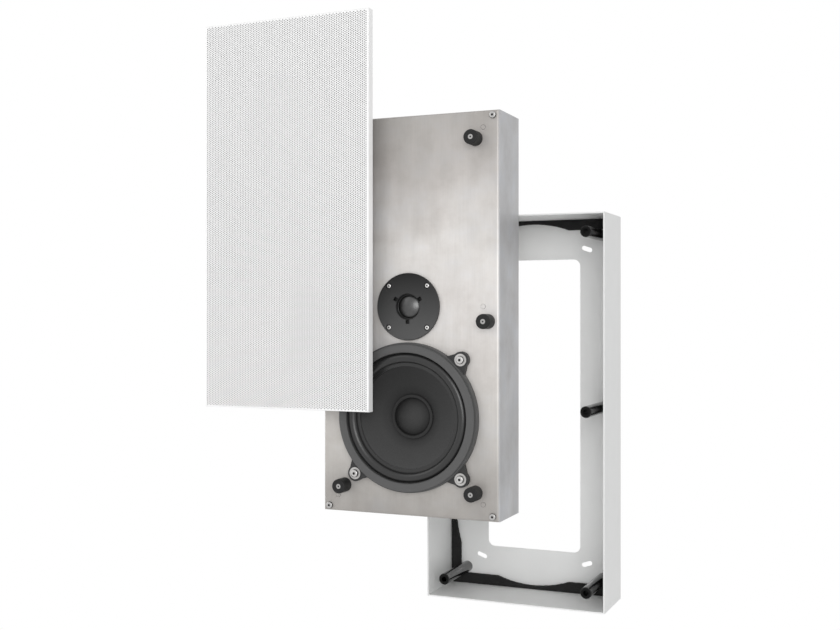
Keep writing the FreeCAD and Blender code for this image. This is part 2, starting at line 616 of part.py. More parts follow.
# Surround: a half roll with two lips
roll_centre = BASKET_INNER - ROLL_RADIUS
roll_y = flange_face - SURROUND_THICKNESS / 2
lip_front = flange_face - SURROUND_THICKNESS
half = SURROUND_THICKNESS / 2
roll_outer = ROLL_RADIUS + half
roll_inner = ROLL_RADIUS - half
outer_reach = math.sqrt(roll_outer ** 2 - half ** 2)
inner_reach = math.sqrt(roll_inner ** 2 - half ** 2)
lip_outer = WOOFER_TRIM_INNER + SURROUND_LIP
lip_inner = roll_centre - ROLL_RADIUS - SURROUND_LIP
surround = turned_edges(0, WOOFER_Z, [
    line((lip_outer, lip_front), (roll_centre + outer_reach, lip_front)),
    arc((roll_centre + outer_reach, lip_front), (roll_centre, roll_y - roll_outer),
        (roll_centre - outer_reach, lip_front)),
    line((roll_centre - outer_reach, lip_front), (lip_inner, lip_front)),
    line((lip_inner, lip_front), (lip_inner, flange_face)),
    line((lip_inner, flange_face), (roll_centre - inner_reach, flange_face)),
    arc((roll_centre - inner_reach, flange_face), (roll_centre, roll_y - roll_inner),
        (roll_centre + inner_reach, flange_face)),
    line((roll_centre + inner_reach, flange_face), (lip_outer, flange_face)),
    line((lip_outer, flange_face), (lip_outer, lip_front))])
write("woofer_surround", [surround], CABINET_PLACE)

# Trim ring over the outer lip, with a groove above its wider foot
trim_front = lip_front - WOOFER_TRIM_HEIGHT
trim_foot = flange_face - WOOFER_TRIM_FOOT
trim_groove = trim_foot - WOOFER_TRIM_GROOVE_WIDTH
trim_neck = WOOFER_TRIM_RADIUS - WOOFER_TRIM_GROOVE_DEPTH
trim_base = WOOFER_FLANGE_RADIUS - WOOFER_TRIM_FOOT_STEP
trim = turned(0, WOOFER_Z, [
    (WOOFER_TRIM_INNER, lip_front), (WOOFER_TRIM_INNER, trim_front + WOOFER_TRIM_CHAMFER),
    (WOOFER_TRIM_INNER + WOOFER_TRIM_CHAMFER, trim_front),
    (WOOFER_TRIM_RADIUS - WOOFER_TRIM_CHAMFER, trim_front), (WOOFER_TRIM_RADIUS, trim_front + WOOFER_TRIM_CHAMFER),
    (WOOFER_TRIM_RADIUS, trim_groove), (trim_neck, trim_groove), (trim_neck, trim_foot), (trim_base, trim_foot),
    (trim_base, flange_face), (lip_outer, flange_face), (lip_outer, lip_front)])
write("woofer_trim_ring", [trim], CABINET_PLACE)

# Cone, from its flat rim down to the voice coil
cone_rim = roll_centre - inner_reach
cone_edge = cone_rim - CONE_RIM_WIDTH
cone_slope = CONE_DEPTH / (cone_edge - COIL_RADIUS)


def cone_y(radius):
    return flange_face + (cone_edge - radius) * cone_slope


cone = turned(0, WOOFER_Z, [
    (cone_rim, flange_face), (cone_edge, flange_face), (COIL_RADIUS, cone_y(COIL_RADIUS)),
    (COIL_RADIUS, cone_y(COIL_RADIUS) + CONE_NECK_THICKNESS), (cone_edge, flange_face + CONE_THICKNESS),
    (cone_rim, flange_face + CONE_THICKNESS)])
write("woofer_cone", [cone], CABINET_PLACE)

# Dust cap with a raised lip that lies on the cone and a groove inside the lip
lip_radius = CAP_RADIUS + CAP_LIP
groove_radius = CAP_RADIUS + CAP_GROOVE
dome_base = cone_y(CAP_RADIUS) - 2 * CAP_THICKNESS
lip_top = dome_base - CAP_LIP_HEIGHT
dome_sphere = (CAP_RADIUS ** 2 + CAP_HEIGHT ** 2) / (2 * CAP_HEIGHT)


def dome_y(radius, base, sphere, height):
    return base - height + sphere - math.sqrt(sphere ** 2 - radius ** 2)


inside_base = dome_base + CAP_THICKNESS
cap_mid = CAP_RADIUS / 2
inner_cap = CAP_RADIUS - CAP_INSIDE
cap = turned_edges(0, WOOFER_Z, [
    arc((0, dome_y(0, dome_base, dome_sphere, CAP_HEIGHT)),
        (cap_mid, dome_y(cap_mid, dome_base, dome_sphere, CAP_HEIGHT)), (CAP_RADIUS, dome_base)),
    line((CAP_RADIUS, dome_base), (groove_radius, dome_base)),
    line((groove_radius, dome_base), (groove_radius, lip_top)),
    line((groove_radius, lip_top), (lip_radius, lip_top)),
    line((lip_radius, lip_top), (lip_radius, cone_y(lip_radius))),
    line((lip_radius, cone_y(lip_radius)), (inner_cap, cone_y(inner_cap))),
    line((inner_cap, cone_y(inner_cap)), (inner_cap, dome_y(inner_cap, inside_base, dome_sphere, CAP_HEIGHT))),
    arc((inner_cap, dome_y(inner_cap, inside_base, dome_sphere, CAP_HEIGHT)),
        (cap_mid, dome_y(cap_mid, inside_base, dome_sphere, CAP_HEIGHT)),
        (0, dome_y(0, inside_base, dome_sphere, CAP_HEIGHT))),
    line((0, dome_y(0, inside_base, dome_sphere, CAP_HEIGHT)), (0, dome_y(0, dome_base, dome_sphere, CAP_HEIGHT)))])
write("dust_cap", [cap], CABINET_PLACE)

# Voice coil on its former
coil_end = flange_back + COIL_END
coil = turned(0, WOOFER_Z, [
    (COIL_RADIUS - FORMER_THICKNESS, cone_y(COIL_RADIUS)), (COIL_RADIUS, cone_y(COIL_RADIUS)),
    (COIL_RADIUS, coil_end - COIL_HEIGHT), (COIL_RADIUS + COIL_WINDING, coil_end - COIL_HEIGHT),
    (COIL_RADIUS + COIL_WINDING, coil_end), (COIL_RADIUS - FORMER_THICKNESS, coil_end)])
write("woofer_voice_coil", [coil], CABINET_PLACE)

# Spider: a waved disc between the former and the basket's ring
spider_back = ring_front
spider_lip = BASKET_RING_INNER + SPIDER_SEAT
wave_length = (spider_lip - COIL_RADIUS) / (2 * SPIDER_WAVES + 1)
front_side = [(BASKET_RING_OUTER - SPIDER_EDGE, spider_back - SPIDER_THICKNESS)]
for k in range(2 * SPIDER_WAVES + 1):
    swing = 0.0 if k == 0 else SPIDER_WAVE * (1 if k % 2 else -1)
    front_side.append((spider_lip - k * wave_length, spider_back - SPIDER_THICKNESS + swing - SPIDER_WAVE * (k > 0)))
front_side.append((COIL_RADIUS, spider_back - SPIDER_THICKNESS))
back_side = [(radius, y + SPIDER_THICKNESS) for radius, y in reversed(front_side)]
spider = turned(0, WOOFER_Z, front_side + back_side)
write("woofer_spider", [spider], CABINET_PLACE)

# Woofer motor
plate_front = basket_back
magnet_front = plate_front + TOP_PLATE_THICKNESS
yoke_front = magnet_front + MAGNET_THICKNESS
yoke_back = yoke_front + YOKE_THICKNESS
gap_outer = COIL_RADIUS + COIL_WINDING + GAP_CLEARANCE
pole = COIL_RADIUS - FORMER_THICKNESS - GAP_CLEARANCE
write("woofer_top_plate", [tube(0, WOOFER_Z, plate_front, magnet_front, TOP_PLATE_RADIUS, gap_outer)], CABINET_PLACE)
write("woofer_magnet", [tube(0, WOOFER_Z, magnet_front, yoke_front, MAGNET_RADIUS, MAGNET_INNER)], CABINET_PLACE)
yoke = rod(0, WOOFER_Z, yoke_front, yoke_back, TOP_PLATE_RADIUS).fuse(rod(0, WOOFER_Z, plate_front, yoke_front, pole))
yoke = yoke.cut(rod(0, WOOFER_Z, plate_front, yoke_back, POLE_VENT_RADIUS)).removeSplitter()
write("woofer_yoke", [yoke], CABINET_PLACE)

# Washers, screws and nuts of the woofer's four ears
washer_face = flange_face - WASHER_THICKNESS
ear_nut_end = CABINET_SHEET + WOOFER_NUT_HEIGHT
write("woofer_washers", [tube(x, z, washer_face, flange_face, WASHER_RADIUS, WOOFER_SCREW_RADIUS + SCREW_CLEARANCE)
                         for x, z in ears], CABINET_PLACE)
write("woofer_screws", [socket_screw(x, z, washer_face, WOOFER_SCREW_HEAD_RADIUS, WOOFER_SCREW_HEAD_HEIGHT,
                                     WOOFER_SCREW_RADIUS, ear_nut_end - washer_face, True)
                        for x, z in ears], CABINET_PLACE)
write("woofer_nuts", [tube(x, z, CABINET_SHEET, ear_nut_end, WOOFER_NUT_RADIUS, WOOFER_SCREW_RADIUS)
                      for x, z in ears], CABINET_PLACE)

# Tweeter plate with a bevelled opening, three notches and four sunk screws
plate_back = -TWEETER_SEAL
plate_face = plate_back - TWEETER_THICKNESS
boss_back = plate_back + TWEETER_BOSS_DEPTH
film_front = boss_back - TWEETER_FILM
dish_bottom = plate_face + TWEETER_DISH_DEPTH
tweeter_plate = turned(0, TWEETER_Z, [
    (TWEETER_OPENING, dish_bottom), (TWEETER_DISH_RADIUS, plate_face), (TWEETER_RADIUS - TWEETER_EDGE, plate_face),
    (TWEETER_RADIUS, plate_face + TWEETER_EDGE), (TWEETER_RADIUS, plate_back), (TWEETER_BOSS_RADIUS, plate_back),
    (TWEETER_BOSS_RADIUS, boss_back), (TWEETER_LIP_RADIUS, boss_back), (TWEETER_LIP_RADIUS, film_front),
    (TWEETER_OPENING, film_front)])
screw_seat = plate_face + TWEETER_SCREW_SINK + TWEETER_SCREW_HEAD_HEIGHT
screw_end = plate_face + TWEETER_SCREW_LENGTH
tweeter_screws = []
for x, z in tweeter_screw_places:
    room = rod(x, z, plate_face - 1, screw_seat, TWEETER_SCREW_HEAD_RADIUS + TWEETER_SCREW_ROOM)
    shank = rod(x, z, screw_seat, screw_end, TWEETER_SCREW_RADIUS)
    tweeter_plate = without(tweeter_plate, [room, shank])
    tweeter_screws.append(socket_screw(x, z, screw_seat, TWEETER_SCREW_HEAD_RADIUS, TWEETER_SCREW_HEAD_HEIGHT,
                                       TWEETER_SCREW_RADIUS, screw_end - screw_seat, True))
for k in range(3):
    notch = block(TWEETER_NOTCH_RADIUS - TWEETER_NOTCH_LENGTH / 2, TWEETER_NOTCH_RADIUS + TWEETER_NOTCH_LENGTH / 2,
                  plate_face - 1, dish_bottom + TWEETER_NOTCH_DEPTH,
                  -TWEETER_NOTCH_WIDTH / 2, TWEETER_NOTCH_WIDTH / 2)
    notch.rotate(point(0, 0, 0), point(0, 1, 0), 90 + 120 * k)
    notch.translate(point(0, 0, TWEETER_Z))
    tweeter_plate = tweeter_plate.cut(notch)
write("tweeter_plate", [tweeter_plate], CABINET_PLACE)
write("tweeter_screws", tweeter_screws, CABINET_PLACE)
tweeter_seal = tube(0, TWEETER_Z, plate_back, 0.0, TWEETER_RADIUS, TWEETER_BOSS_RADIUS + BAFFLE_CLEARANCE)
tweeter_seal = without(tweeter_seal, [rod(x, z, plate_back, 0.0, TWEETER_SCREW_RADIUS)
                                      for x, z in tweeter_screw_places])
write("tweeter_seal", [tweeter_seal], CABINET_PLACE)

# Tweeter dome with its small roll and clamped lip in one film
film_back = boss_back
sphere = (DOME_RADIUS ** 2 + DOME_HEIGHT ** 2) / (2 * DOME_HEIGHT)
mid = DOME_RADIUS / 2
front_top = film_front - DOME_HEIGHT
front_mid = dome_y(mid, film_front, sphere, DOME_HEIGHT)
foot = TWEETER_OPENING - DOME_ROLL_INSET
dome = turned_edges(0, TWEETER_Z, [
    arc((0, front_top), (mid, front_mid), (DOME_RADIUS, film_front)),
    arc((DOME_RADIUS, film_front), ((DOME_RADIUS + foot) / 2, film_front - DOME_ROLL_RISE), (foot, film_front)),
    line((foot, film_front), (TWEETER_LIP_RADIUS, film_front)),
    line((TWEETER_LIP_RADIUS, film_front), (TWEETER_LIP_RADIUS, film_back)),
    line((TWEETER_LIP_RADIUS, film_back), (foot, film_back)),
    arc((foot, film_back), ((DOME_RADIUS + foot) / 2, film_back - DOME_ROLL_RISE), (DOME_RADIUS, film_back)),
    arc((DOME_RADIUS, film_back), (mid, front_mid + TWEETER_FILM), (0, front_top + TWEETER_FILM)),
    line((0, front_top + TWEETER_FILM), (0, front_top))])
write("tweeter_dome", [dome], CABINET_PLACE)

# Tweeter motor
coil_outer = DOME_RADIUS + TWEETER_COIL_THICKNESS / 2
coil_inner = DOME_RADIUS - TWEETER_COIL_THICKNESS / 2
motor_front = film_back
motor_magnet = motor_front + TWEETER_PLATE_THICKNESS
motor_yoke = motor_magnet + TWEETER_MAGNET_THICKNESS
motor_back = motor_yoke + TWEETER_YOKE_THICKNESS
write("tweeter_voice_coil", [tube(0, TWEETER_Z, film_back, film_back + TWEETER_COIL_HEIGHT, coil_outer, coil_inner)],
      CABINET_PLACE)
write("tweeter_top_plate", [tube(0, TWEETER_Z, motor_front, motor_magnet, TWEETER_MOTOR_RADIUS,
                                 coil_outer + TWEETER_GAP)], CABINET_PLACE)
write("tweeter_magnet", [tube(0, TWEETER_Z, motor_magnet, motor_yoke, TWEETER_MOTOR_RADIUS, TWEETER_MAGNET_INNER)],
      CABINET_PLACE)
tweeter_yoke = rod(0, TWEETER_Z, motor_yoke, motor_back, TWEETER_MOTOR_RADIUS)
tweeter_yoke = tweeter_yoke.fuse(rod(0, TWEETER_Z, motor_front, motor_yoke, coil_inner - TWEETER_GAP)).removeSplitter()
write("tweeter_yoke", [tweeter_yoke], CABINET_PLACE)

# Terminal cup in the back panel with its two terminals
cup_floor = CABINET_DEPTH - CUP_DEPTH
cup = block(-cup_x, cup_x, cup_floor, CABINET_DEPTH, CUP_Z - cup_z, CUP_Z + cup_z)
cup = cup.fuse(block(-cup_x - CUP_FLANGE, cup_x + CUP_FLANGE, CABINET_DEPTH, CABINET_DEPTH + CUP_WALL,
                     CUP_Z - cup_z - CUP_FLANGE, CUP_Z + cup_z + CUP_FLANGE))
cup = cup.cut(block(-cup_x + CUP_WALL, cup_x - CUP_WALL, cup_floor + CUP_WALL, CABINET_DEPTH + CUP_WALL + 1,
                    CUP_Z - cup_z + CUP_WALL, CUP_Z + cup_z - CUP_WALL))
cup_screw_solids = []
for x, z in cup_screws:
    head_end = CABINET_DEPTH + CUP_WALL + CUP_SCREW_HEAD_HEIGHT
    shank = rod(x, z, CABINET_DEPTH + CUP_WALL - CUP_SCREW_LENGTH, CABINET_DEPTH + CUP_WALL, CUP_SCREW_RADIUS)
    cup = cup.cut(shank)
    cup_screw_solids.append(shank.fuse(rod(x, z, CABINET_DEPTH + CUP_WALL, head_end, CUP_SCREW_HEAD_RADIUS)))
terminal_y = cup_floor + CUP_WALL
for name, side in (("terminal_red", 1), ("terminal_black", -1)):
    x = side * TERMINAL_SPACING / 2
    stud = rod(x, CUP_Z, cup_floor - TERMINAL_STUD_LENGTH, terminal_y, TERMINAL_STUD_RADIUS)
    cup = cup.cut(stud)
    knob = rod(x, CUP_Z, terminal_y, terminal_y + TERMINAL_LENGTH, TERMINAL_RADIUS)
    write(name, [knob.fuse(stud)], CABINET_PLACE)
write("terminal_cup", [cup.removeSplitter()], CABINET_PLACE)
write("terminal_cup_screws", cup_screw_solids, CABINET_PLACE)

# Crossover board on spacers, with its coils, capacitors and resistor
board_back = BACK_INNER - BOARD_SPACER_LENGTH
board_front = board_back - BOARD_THICKNESS
board = block(-BOARD_WIDTH / 2, BOARD_WIDTH / 2, board_front, board_back,
              BOARD_Z - BOARD_HEIGHT / 2, BOARD_Z + BOARD_HEIGHT / 2)
write("crossover_board", [board], CABINET_PLACE)
spacers = [rod(side * (BOARD_WIDTH / 2 - BOARD_SPACER_INSET), BOARD_Z + level * (BOARD_HEIGHT / 2 - BOARD_SPACER_INSET),
               board_back, BACK_INNER, BOARD_SPACER_RADIUS) for side in SIDES.values() for level in (1, -1)]
write("crossover_spacers", spacers, CABINET_PLACE)
coil_x = BOARD_WIDTH / 2 - COIL_WOOFER_RADIUS - BOARD_MARGIN
coil_z = BOARD_Z + BOARD_HEIGHT / 2 - COIL_WOOFER_RADIUS - BOARD_MARGIN
write("crossover_coil_woofer", [tube(-coil_x, coil_z, board_front - COIL_WOOFER_HEIGHT, board_front,
                                     COIL_WOOFER_RADIUS, COIL_WOOFER_RADIUS * COIL_CORE_SHARE)], CABINET_PLACE)
write("crossover_coil_tweeter", [tube(coil_x, coil_z, board_front - COIL_TWEETER_HEIGHT, board_front,
                                      COIL_TWEETER_RADIUS, COIL_TWEETER_RADIUS * COIL_CORE_SHARE)], CABINET_PLACE)
low_z = BOARD_Z - BOARD_HEIGHT / 2 + CAPACITOR_RADIUS + BOARD_MARGIN
capacitors = []
for side in SIDES.values():
    start = point(side * BOARD_WIDTH / 4 - CAPACITOR_LENGTH / 2, board_front - CAPACITOR_RADIUS, low_z)
    capacitors.append(Part.makeCylinder(CAPACITOR_RADIUS, CAPACITOR_LENGTH, start, point(1, 0, 0)))
write("crossover_capacitors", capacitors, CABINET_PLACE)
resistor_z = BOARD_Z + BOARD_HEIGHT / 4
resistor = block(-RESISTOR_SIDE / 2, RESISTOR_SIDE / 2, board_front - RESISTOR_SIDE, board_front,
                 resistor_z - RESISTOR_LENGTH / 2, resistor_z + RESISTOR_LENGTH / 2)
write("crossover_resistor", [resistor], CABINET_PLACE)


def lead(stops):
    runs = []
    for a, b in zip(stops, stops[1:]):
        step = point(*b) - point(*a)
        runs.append(Part.makeCylinder(LEAD_RADIUS, step.Length, point(*a), step))
    bends = [Part.makeSphere(LEAD_RADIUS, point(*stop)) for stop in stops[1:-1]]
    return joined(runs + bends)


# Leads from the terminals to the board, and from the board to the two drivers
board_foot = BOARD_Z - BOARD_HEIGHT / 2
landing_y = board_front - LEAD_END_GAP
leave_y = board_front - LEAD_BEND
terminal_end = cup_floor - TERMINAL_STUD_LENGTH - LEAD_END_GAP
tweeter_end = motor_back + LEAD_END_GAP
woofer_end_y = (ring_front + basket_back) / 2
woofer_end_z = WOOFER_Z + math.sqrt(BASKET_RING_OUTER ** 2 - (LEAD_WOOFER_X - LEAD_RADIUS) ** 2) + LEAD_END_GAP
leads = []
for side in SIDES.values():
    x = side * TERMINAL_SPACING / 2
    board_x = side * LEAD_TERMINAL_X
    board_z = board_foot + LEAD_TERMINAL_RISE
    leads.append(lead([(x, terminal_end, CUP_Z), (x, terminal_end - LEAD_BEND, CUP_Z),
                       (board_x, leave_y, board_z), (board_x, landing_y, board_z)]))
    x = side * LEAD_TWEETER_X
    board_z = board_foot + LEAD_TWEETER_RISE
    leads.append(lead([(x, landing_y, board_z), (x, leave_y, board_z), (x, LEAD_RUN_DEPTH, CUP_Z),
                       (x, LEAD_RUN_DEPTH, TWEETER_Z), (x, tweeter_end, TWEETER_Z)]))
    x = side * LEAD_WOOFER_X
    board_z = board_foot + LEAD_WOOFER_RISE
    leads.append(lead([(x, landing_y, board_z), (x, leave_y, board_z), (x, LEAD_RUN_DEPTH, CUP_Z),
                       (x, woofer_end_y, TWEETER_Z), (x, woofer_end_y, woofer_end_z)]))
write("inner_leads", leads, CABINET_PLACE)

# Damping pad on the inside of the front
pad = block(-PAD_WIDTH / 2, PAD_WIDTH / 2, CABINET_SHEET, CABINET_SHEET + PAD_THICKNESS, PAD_BOTTOM, PAD_TOP)
write("damping_pad", [pad], CABINET_PLACE)

# Grille: a shallow tray, the cloth behind it and six magnets that meet the front posts
grille = tray(UNIT_WIDTH, UNIT_HEIGHT, 0.0, GRILLE_DEPTH, GRILLE_SHEET, GRILLE_BEND)
write("grille_sheet", [grille], GRILLE_PLACE)
cloth_x = HALF_WIDTH - GRILLE_BEND - CLOTH_GAP
cloth_z = HALF_HEIGHT - GRILLE_BEND - CLOTH_GAP
cloth_back = GRILLE_SHEET + CLOTH_THICKNESS
write("grille_cloth", [block(-cloth_x, cloth_x, GRILLE_SHEET, cloth_back, -cloth_z, cloth_z)], GRILLE_PLACE)
write("grille_magnets", [rod(x, z, cloth_back, GRILLE_DEPTH, GRILLE_MAGNET_RADIUS) for x, z in front_posts.values()],
      GRILLE_PLACE)
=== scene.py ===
import json
import math

import bmesh
import bpy
import numpy as np
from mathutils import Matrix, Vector, noise


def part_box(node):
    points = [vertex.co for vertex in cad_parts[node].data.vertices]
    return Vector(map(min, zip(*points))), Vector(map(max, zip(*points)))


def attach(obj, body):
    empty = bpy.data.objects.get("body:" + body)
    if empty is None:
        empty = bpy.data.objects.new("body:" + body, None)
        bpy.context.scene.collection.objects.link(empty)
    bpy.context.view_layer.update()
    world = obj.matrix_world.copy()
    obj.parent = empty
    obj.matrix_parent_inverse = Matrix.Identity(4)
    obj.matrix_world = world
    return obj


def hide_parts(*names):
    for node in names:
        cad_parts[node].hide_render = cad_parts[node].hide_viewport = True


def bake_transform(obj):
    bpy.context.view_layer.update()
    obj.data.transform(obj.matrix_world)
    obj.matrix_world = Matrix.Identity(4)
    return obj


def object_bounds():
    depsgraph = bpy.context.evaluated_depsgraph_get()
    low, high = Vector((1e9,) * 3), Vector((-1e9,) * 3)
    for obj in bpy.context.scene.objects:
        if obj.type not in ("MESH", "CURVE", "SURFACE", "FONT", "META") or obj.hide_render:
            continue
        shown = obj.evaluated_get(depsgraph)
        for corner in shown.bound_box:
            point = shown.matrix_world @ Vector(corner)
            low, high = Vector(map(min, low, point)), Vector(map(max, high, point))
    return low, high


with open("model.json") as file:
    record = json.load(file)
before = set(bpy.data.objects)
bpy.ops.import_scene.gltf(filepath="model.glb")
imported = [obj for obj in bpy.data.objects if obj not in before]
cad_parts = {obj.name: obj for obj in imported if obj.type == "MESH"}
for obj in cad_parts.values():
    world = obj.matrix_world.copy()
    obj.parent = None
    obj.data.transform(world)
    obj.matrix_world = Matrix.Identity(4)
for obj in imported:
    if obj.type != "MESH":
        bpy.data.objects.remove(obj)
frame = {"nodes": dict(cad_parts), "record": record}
nodes = frame["nodes"]
cad_low, cad_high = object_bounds()

MM = 0.001

# Camera at the height and angle of the photograph
CAMERA_PLACE = (0.4101, -1.3003, 0.1069)
CAMERA_LEVEL_DEG = 90.0
CAMERA_TURN_DEG = 23.22
CAMERA_LENS_MM = 48.8
CAMERA_SENSOR_MM = 36.0

# Studio, with a floor that glows less below the object, where the shadow falls
FLOOR_DROP = 0.30
FLOOR_HALF = 12.0
FLOOR_WHITE = 0.92
FLOOR_ROUGHNESS = 0.9
FLOOR_GLOW_BELOW = 0.55
FLOOR_GLOW_REACH = 0.9
WORLD_SOFT = 0.58
FULL_WHITE = 1.0
LAMPS = {
    "key": {"place": (-2.2, -1.9, 1.9), "size": 1.8, "watts": 10.0},
    "fill": {"place": (1.15, -2.5, 0.6), "size": 1.4, "watts": 30.0},
    "rim": {"place": (-2.3, 0.65, 0.6), "size": 1.6, "watts": 22.0},
}

# Places read from the frame
OBJECT_CENTRE = (cad_low + cad_high) / 2
CABINET_LOW, CABINET_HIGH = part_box("cabinet_shell")
CABINET_CENTRE = (CABINET_LOW + CABINET_HIGH) / 2
CABINET_HALF = (CABINET_HIGH.z - CABINET_LOW.z) / 2
WOOFER_LOW, WOOFER_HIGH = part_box("woofer_trim_ring")
WOOFER_CENTRE = (WOOFER_LOW + WOOFER_HIGH) / 2
TWEETER_LOW, TWEETER_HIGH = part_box("tweeter_plate")
TWEETER_CENTRE = (TWEETER_LOW + TWEETER_HIGH) / 2
TWEETER_RADIUS = TWEETER_HIGH.x - TWEETER_CENTRE.x
GRILLE_LOW, GRILLE_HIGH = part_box("grille_sheet")
CLOTH_LOW, CLOTH_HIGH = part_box("grille_cloth")

# Perforation of the grille
HOLE_PITCH = 2.45 * MM
HOLE_RADIUS = 0.80 * MM
HOLE_EDGE = 0.1 * MM
CELL_SIDES = 6
HOLE_SIDES = 2 * CELL_SIDES
CELL_RADIUS = HOLE_PITCH / math.sqrt(3)
CELL_WELD = 0.01 * MM
COLUMN_STEP = HOLE_PITCH * math.sqrt(3) / 2
GRILLE_SHEET = 1.0 * MM
GRILLE_BEND = 1.6 * MM
GRILLE_PANELS = 4
FLAT_NEAR = 0.002 * MM

# Cloth behind the perforation
CLOTH_STEPS_X = 40
CLOTH_STEPS_Z = 84

# Soft rings of the woofer, with radii from its axis
BENDING_RINGS = {
    "surround_roll": {"node": "woofer_surround", "slot": "rubber_black", "finish": "roll_rubber",
                      "outer": 70.5 * MM, "inner": 60.5 * MM},
    "spider_disc": {"node": "woofer_spider", "slot": "spider_cloth", "finish": "spider_cloth",
                    "outer": 44.0 * MM, "inner": 16.4 * MM},
}

# Open-cell foam
FOAM_VOXEL = 1.3 * MM
FOAM_ROUGHNESS = 0.35 * MM
FOAM_CELL = 3.0 * MM

# Grain that most finishes share
GRAIN_BAND = (0.3, 0.7)
GRAIN_MIDDLE = 0.5
GRAIN_SCALE = 900.0
GRAIN_DETAIL = 3.0
GRAIN_ROUGHNESS = 0.55
GRAIN_DEPTH = 0.05 * MM
GRAIN_SPREAD = 0.12
WIDE_GRAIN = 30
PLAIN_SPECULAR = 0.5
EVEN_SHARE = 0.5

# Plain finishes, a single number being a grey
POWDER_COAT = {"roughness": 0.5, "scale": 1500.0, "depth": 0.02 * MM, "spread": 0.02}
PLAIN_FINISHES = {
    "white_paint": dict(POWDER_COAT, color=(0.775, 0.78, 0.775)),
    "grille_white": dict(POWDER_COAT, color=0.92),
    "plated_steel": dict(color=(0.50, 0.49, 0.48), roughness=0.3, metallic=1.0, scale=1200.0,
                         depth=0.01 * MM),
    "washer_grey": dict(color=(0.52, 0.51, 0.50), roughness=0.45, metallic=1.0, scale=1500.0,
                        depth=0.01 * MM),
    "magnet_nickel": dict(color=(0.68, 0.67, 0.65), roughness=0.2, metallic=1.0, depth=0.005 * MM),
    "foam_black": dict(color=0.010, roughness=0.95, scale=1200.0, depth=0.4 * MM, spread=0.5),
    "rubber_black": dict(color=0.018, roughness=0.55, specular=0.2, scale=1400.0, depth=0.03 * MM,
                         spread=0.3),
    "roll_rubber": dict(color=0.018, roughness=0.3, scale=1400.0, depth=0.01 * MM),
    "trim_grey": dict(color=0.078, roughness=0.55, scale=1600.0, depth=0.03 * MM, spread=0.06),
    "ferrite": dict(color=(0.05, 0.05, 0.055), roughness=0.6, scale=500.0),
    "cup_black": dict(color=0.03, roughness=0.55, scale=1500.0),
    "terminal_red": dict(color=(0.5, 0.02, 0.02), roughness=0.3, scale=800.0, depth=0.01 * MM),
    "terminal_black": dict(color=0.02, roughness=0.3, scale=800.0, depth=0.01 * MM),
    "board_green": dict(color=(0.03, 0.16, 0.06), roughness=0.45, scale=700.0),
    "spacer_white": dict(color=(0.75, 0.75, 0.72), roughness=0.5),
    "capacitor_film": dict(color=(0.5, 0.4, 0.08), roughness=0.3, scale=700.0, depth=0.02 * MM),
    "resistor_white": dict(color=(0.72, 0.71, 0.67), roughness=0.8, scale=1200.0),
    "damping_wool": dict(color=(0.55, 0.53, 0.45), roughness=0.95, scale=300.0, depth=1.0 * MM,
                         spread=0.3),
}

# Brushed steel, with painted reflection on its front from foot to head, painted shade on its sides, and
# its scratches, stains and wiped marks
STEEL_ROUGHNESS = 0.5
STEEL_METALLIC = 0.4
# Painted reflection on the front: lighter across the middle, darker towards foot and head
STEEL_FRONT_PAINTED_REFLECTION = [
    (0.0, (0.36, 0.345, 0.33)),
    (0.2, (0.55, 0.535, 0.515)),
    (0.5, (0.70, 0.68, 0.665)),
    (0.66, (0.69, 0.675, 0.66)),
    (0.84, (0.48, 0.46, 0.445)),
    (1.0, (0.40, 0.385, 0.37)),
]
# Painted shade on the sides: a darker, cooler copy of the steel, darker still towards their head
STEEL_SIDE_PAINTED_SHADE_DARK = (0.50, 0.505, 0.52)
STEEL_SIDE_PAINTED_SHADE_LIGHT = (0.60, 0.605, 0.62)
STEEL_SIDE_PAINTED_SHADE_WASH = [(0.0, 1.03), (0.55, 1.06), (1.0, 0.86)]
STEEL_SIDE_TURN = (0.55, 0.9)
STEEL_GRAINS = {
    "clouds": {"scale": 14.0, "stretch": (1, 1, 0.7), "detail": 4.0},
    "scratches": {"scale": 900.0, "stretch": (1, 1, 0.02), "detail": 2.0},
    "stains": {"scale": 60.0, "stretch": (1, 1, 0.35), "detail": 5.0},
    "wiped": {"scale": 34.0, "stretch": (0.7, 1, 1), "detail": 6.0, "roughness": 0.65},
}
STEEL_CLOUD_DRIFT = 0.12
STEEL_SCRATCH_TONES = [(0.25, 0.92), (0.75, 1.04)]
STEEL_SCRATCH_ROUGHNESS = [(0.2, 0.46), (0.8, 0.56)]
STEEL_SCRATCH_DEPTH = 0.01 * MM
STEEL_SCRATCH_STRENGTH = 0.3
STEEL_STAIN_DARK = 0.86
STEEL_STAIN_LIGHT = 1.08
STEEL_WIPED_TINTS = [(0.32, (0.93, 0.91, 0.895)), (0.5, (1.0, 0.99, 0.98)), (0.68, (1.02, 1.025, 1.04))]

# Screw heads with painted shade in the socket, by how light their steel is
SOCKET_SCREWS = {
    "woofer_screws": 0.55,
    "tweeter_screws": 0.66,
    "front_post_screws": 0.42,
    "corner_bolts": 0.47,
}
HEAD_STEEL = (1.0, 0.985, 0.97)
HEAD_ROUGHNESS = 0.35
HEAD_GRAIN = 1500.0
HEAD_SPREAD = 0.08
HEAD_DEPTH = 0.01 * MM
# Painted shade on all that lies deeper than the head's face: the socket and the head's side
SOCKET_RIM = 0.15 * MM
SOCKET_PIT = 0.6 * MM
SOCKET_PAINTED_SHADE = 0.12

# Posts of the frame, with a glossy shaft and a black end
POST_SHAFT = 0.13
POST_END = 0.005
POST_ROUGHNESS = 0.16
POST_SPECULAR = 0.1
POST_TURN = (0.5, 0.8)
POST_GRAIN = 400.0
POST_SPREAD = 0.1
POST_DEPTH = 0.002 * MM

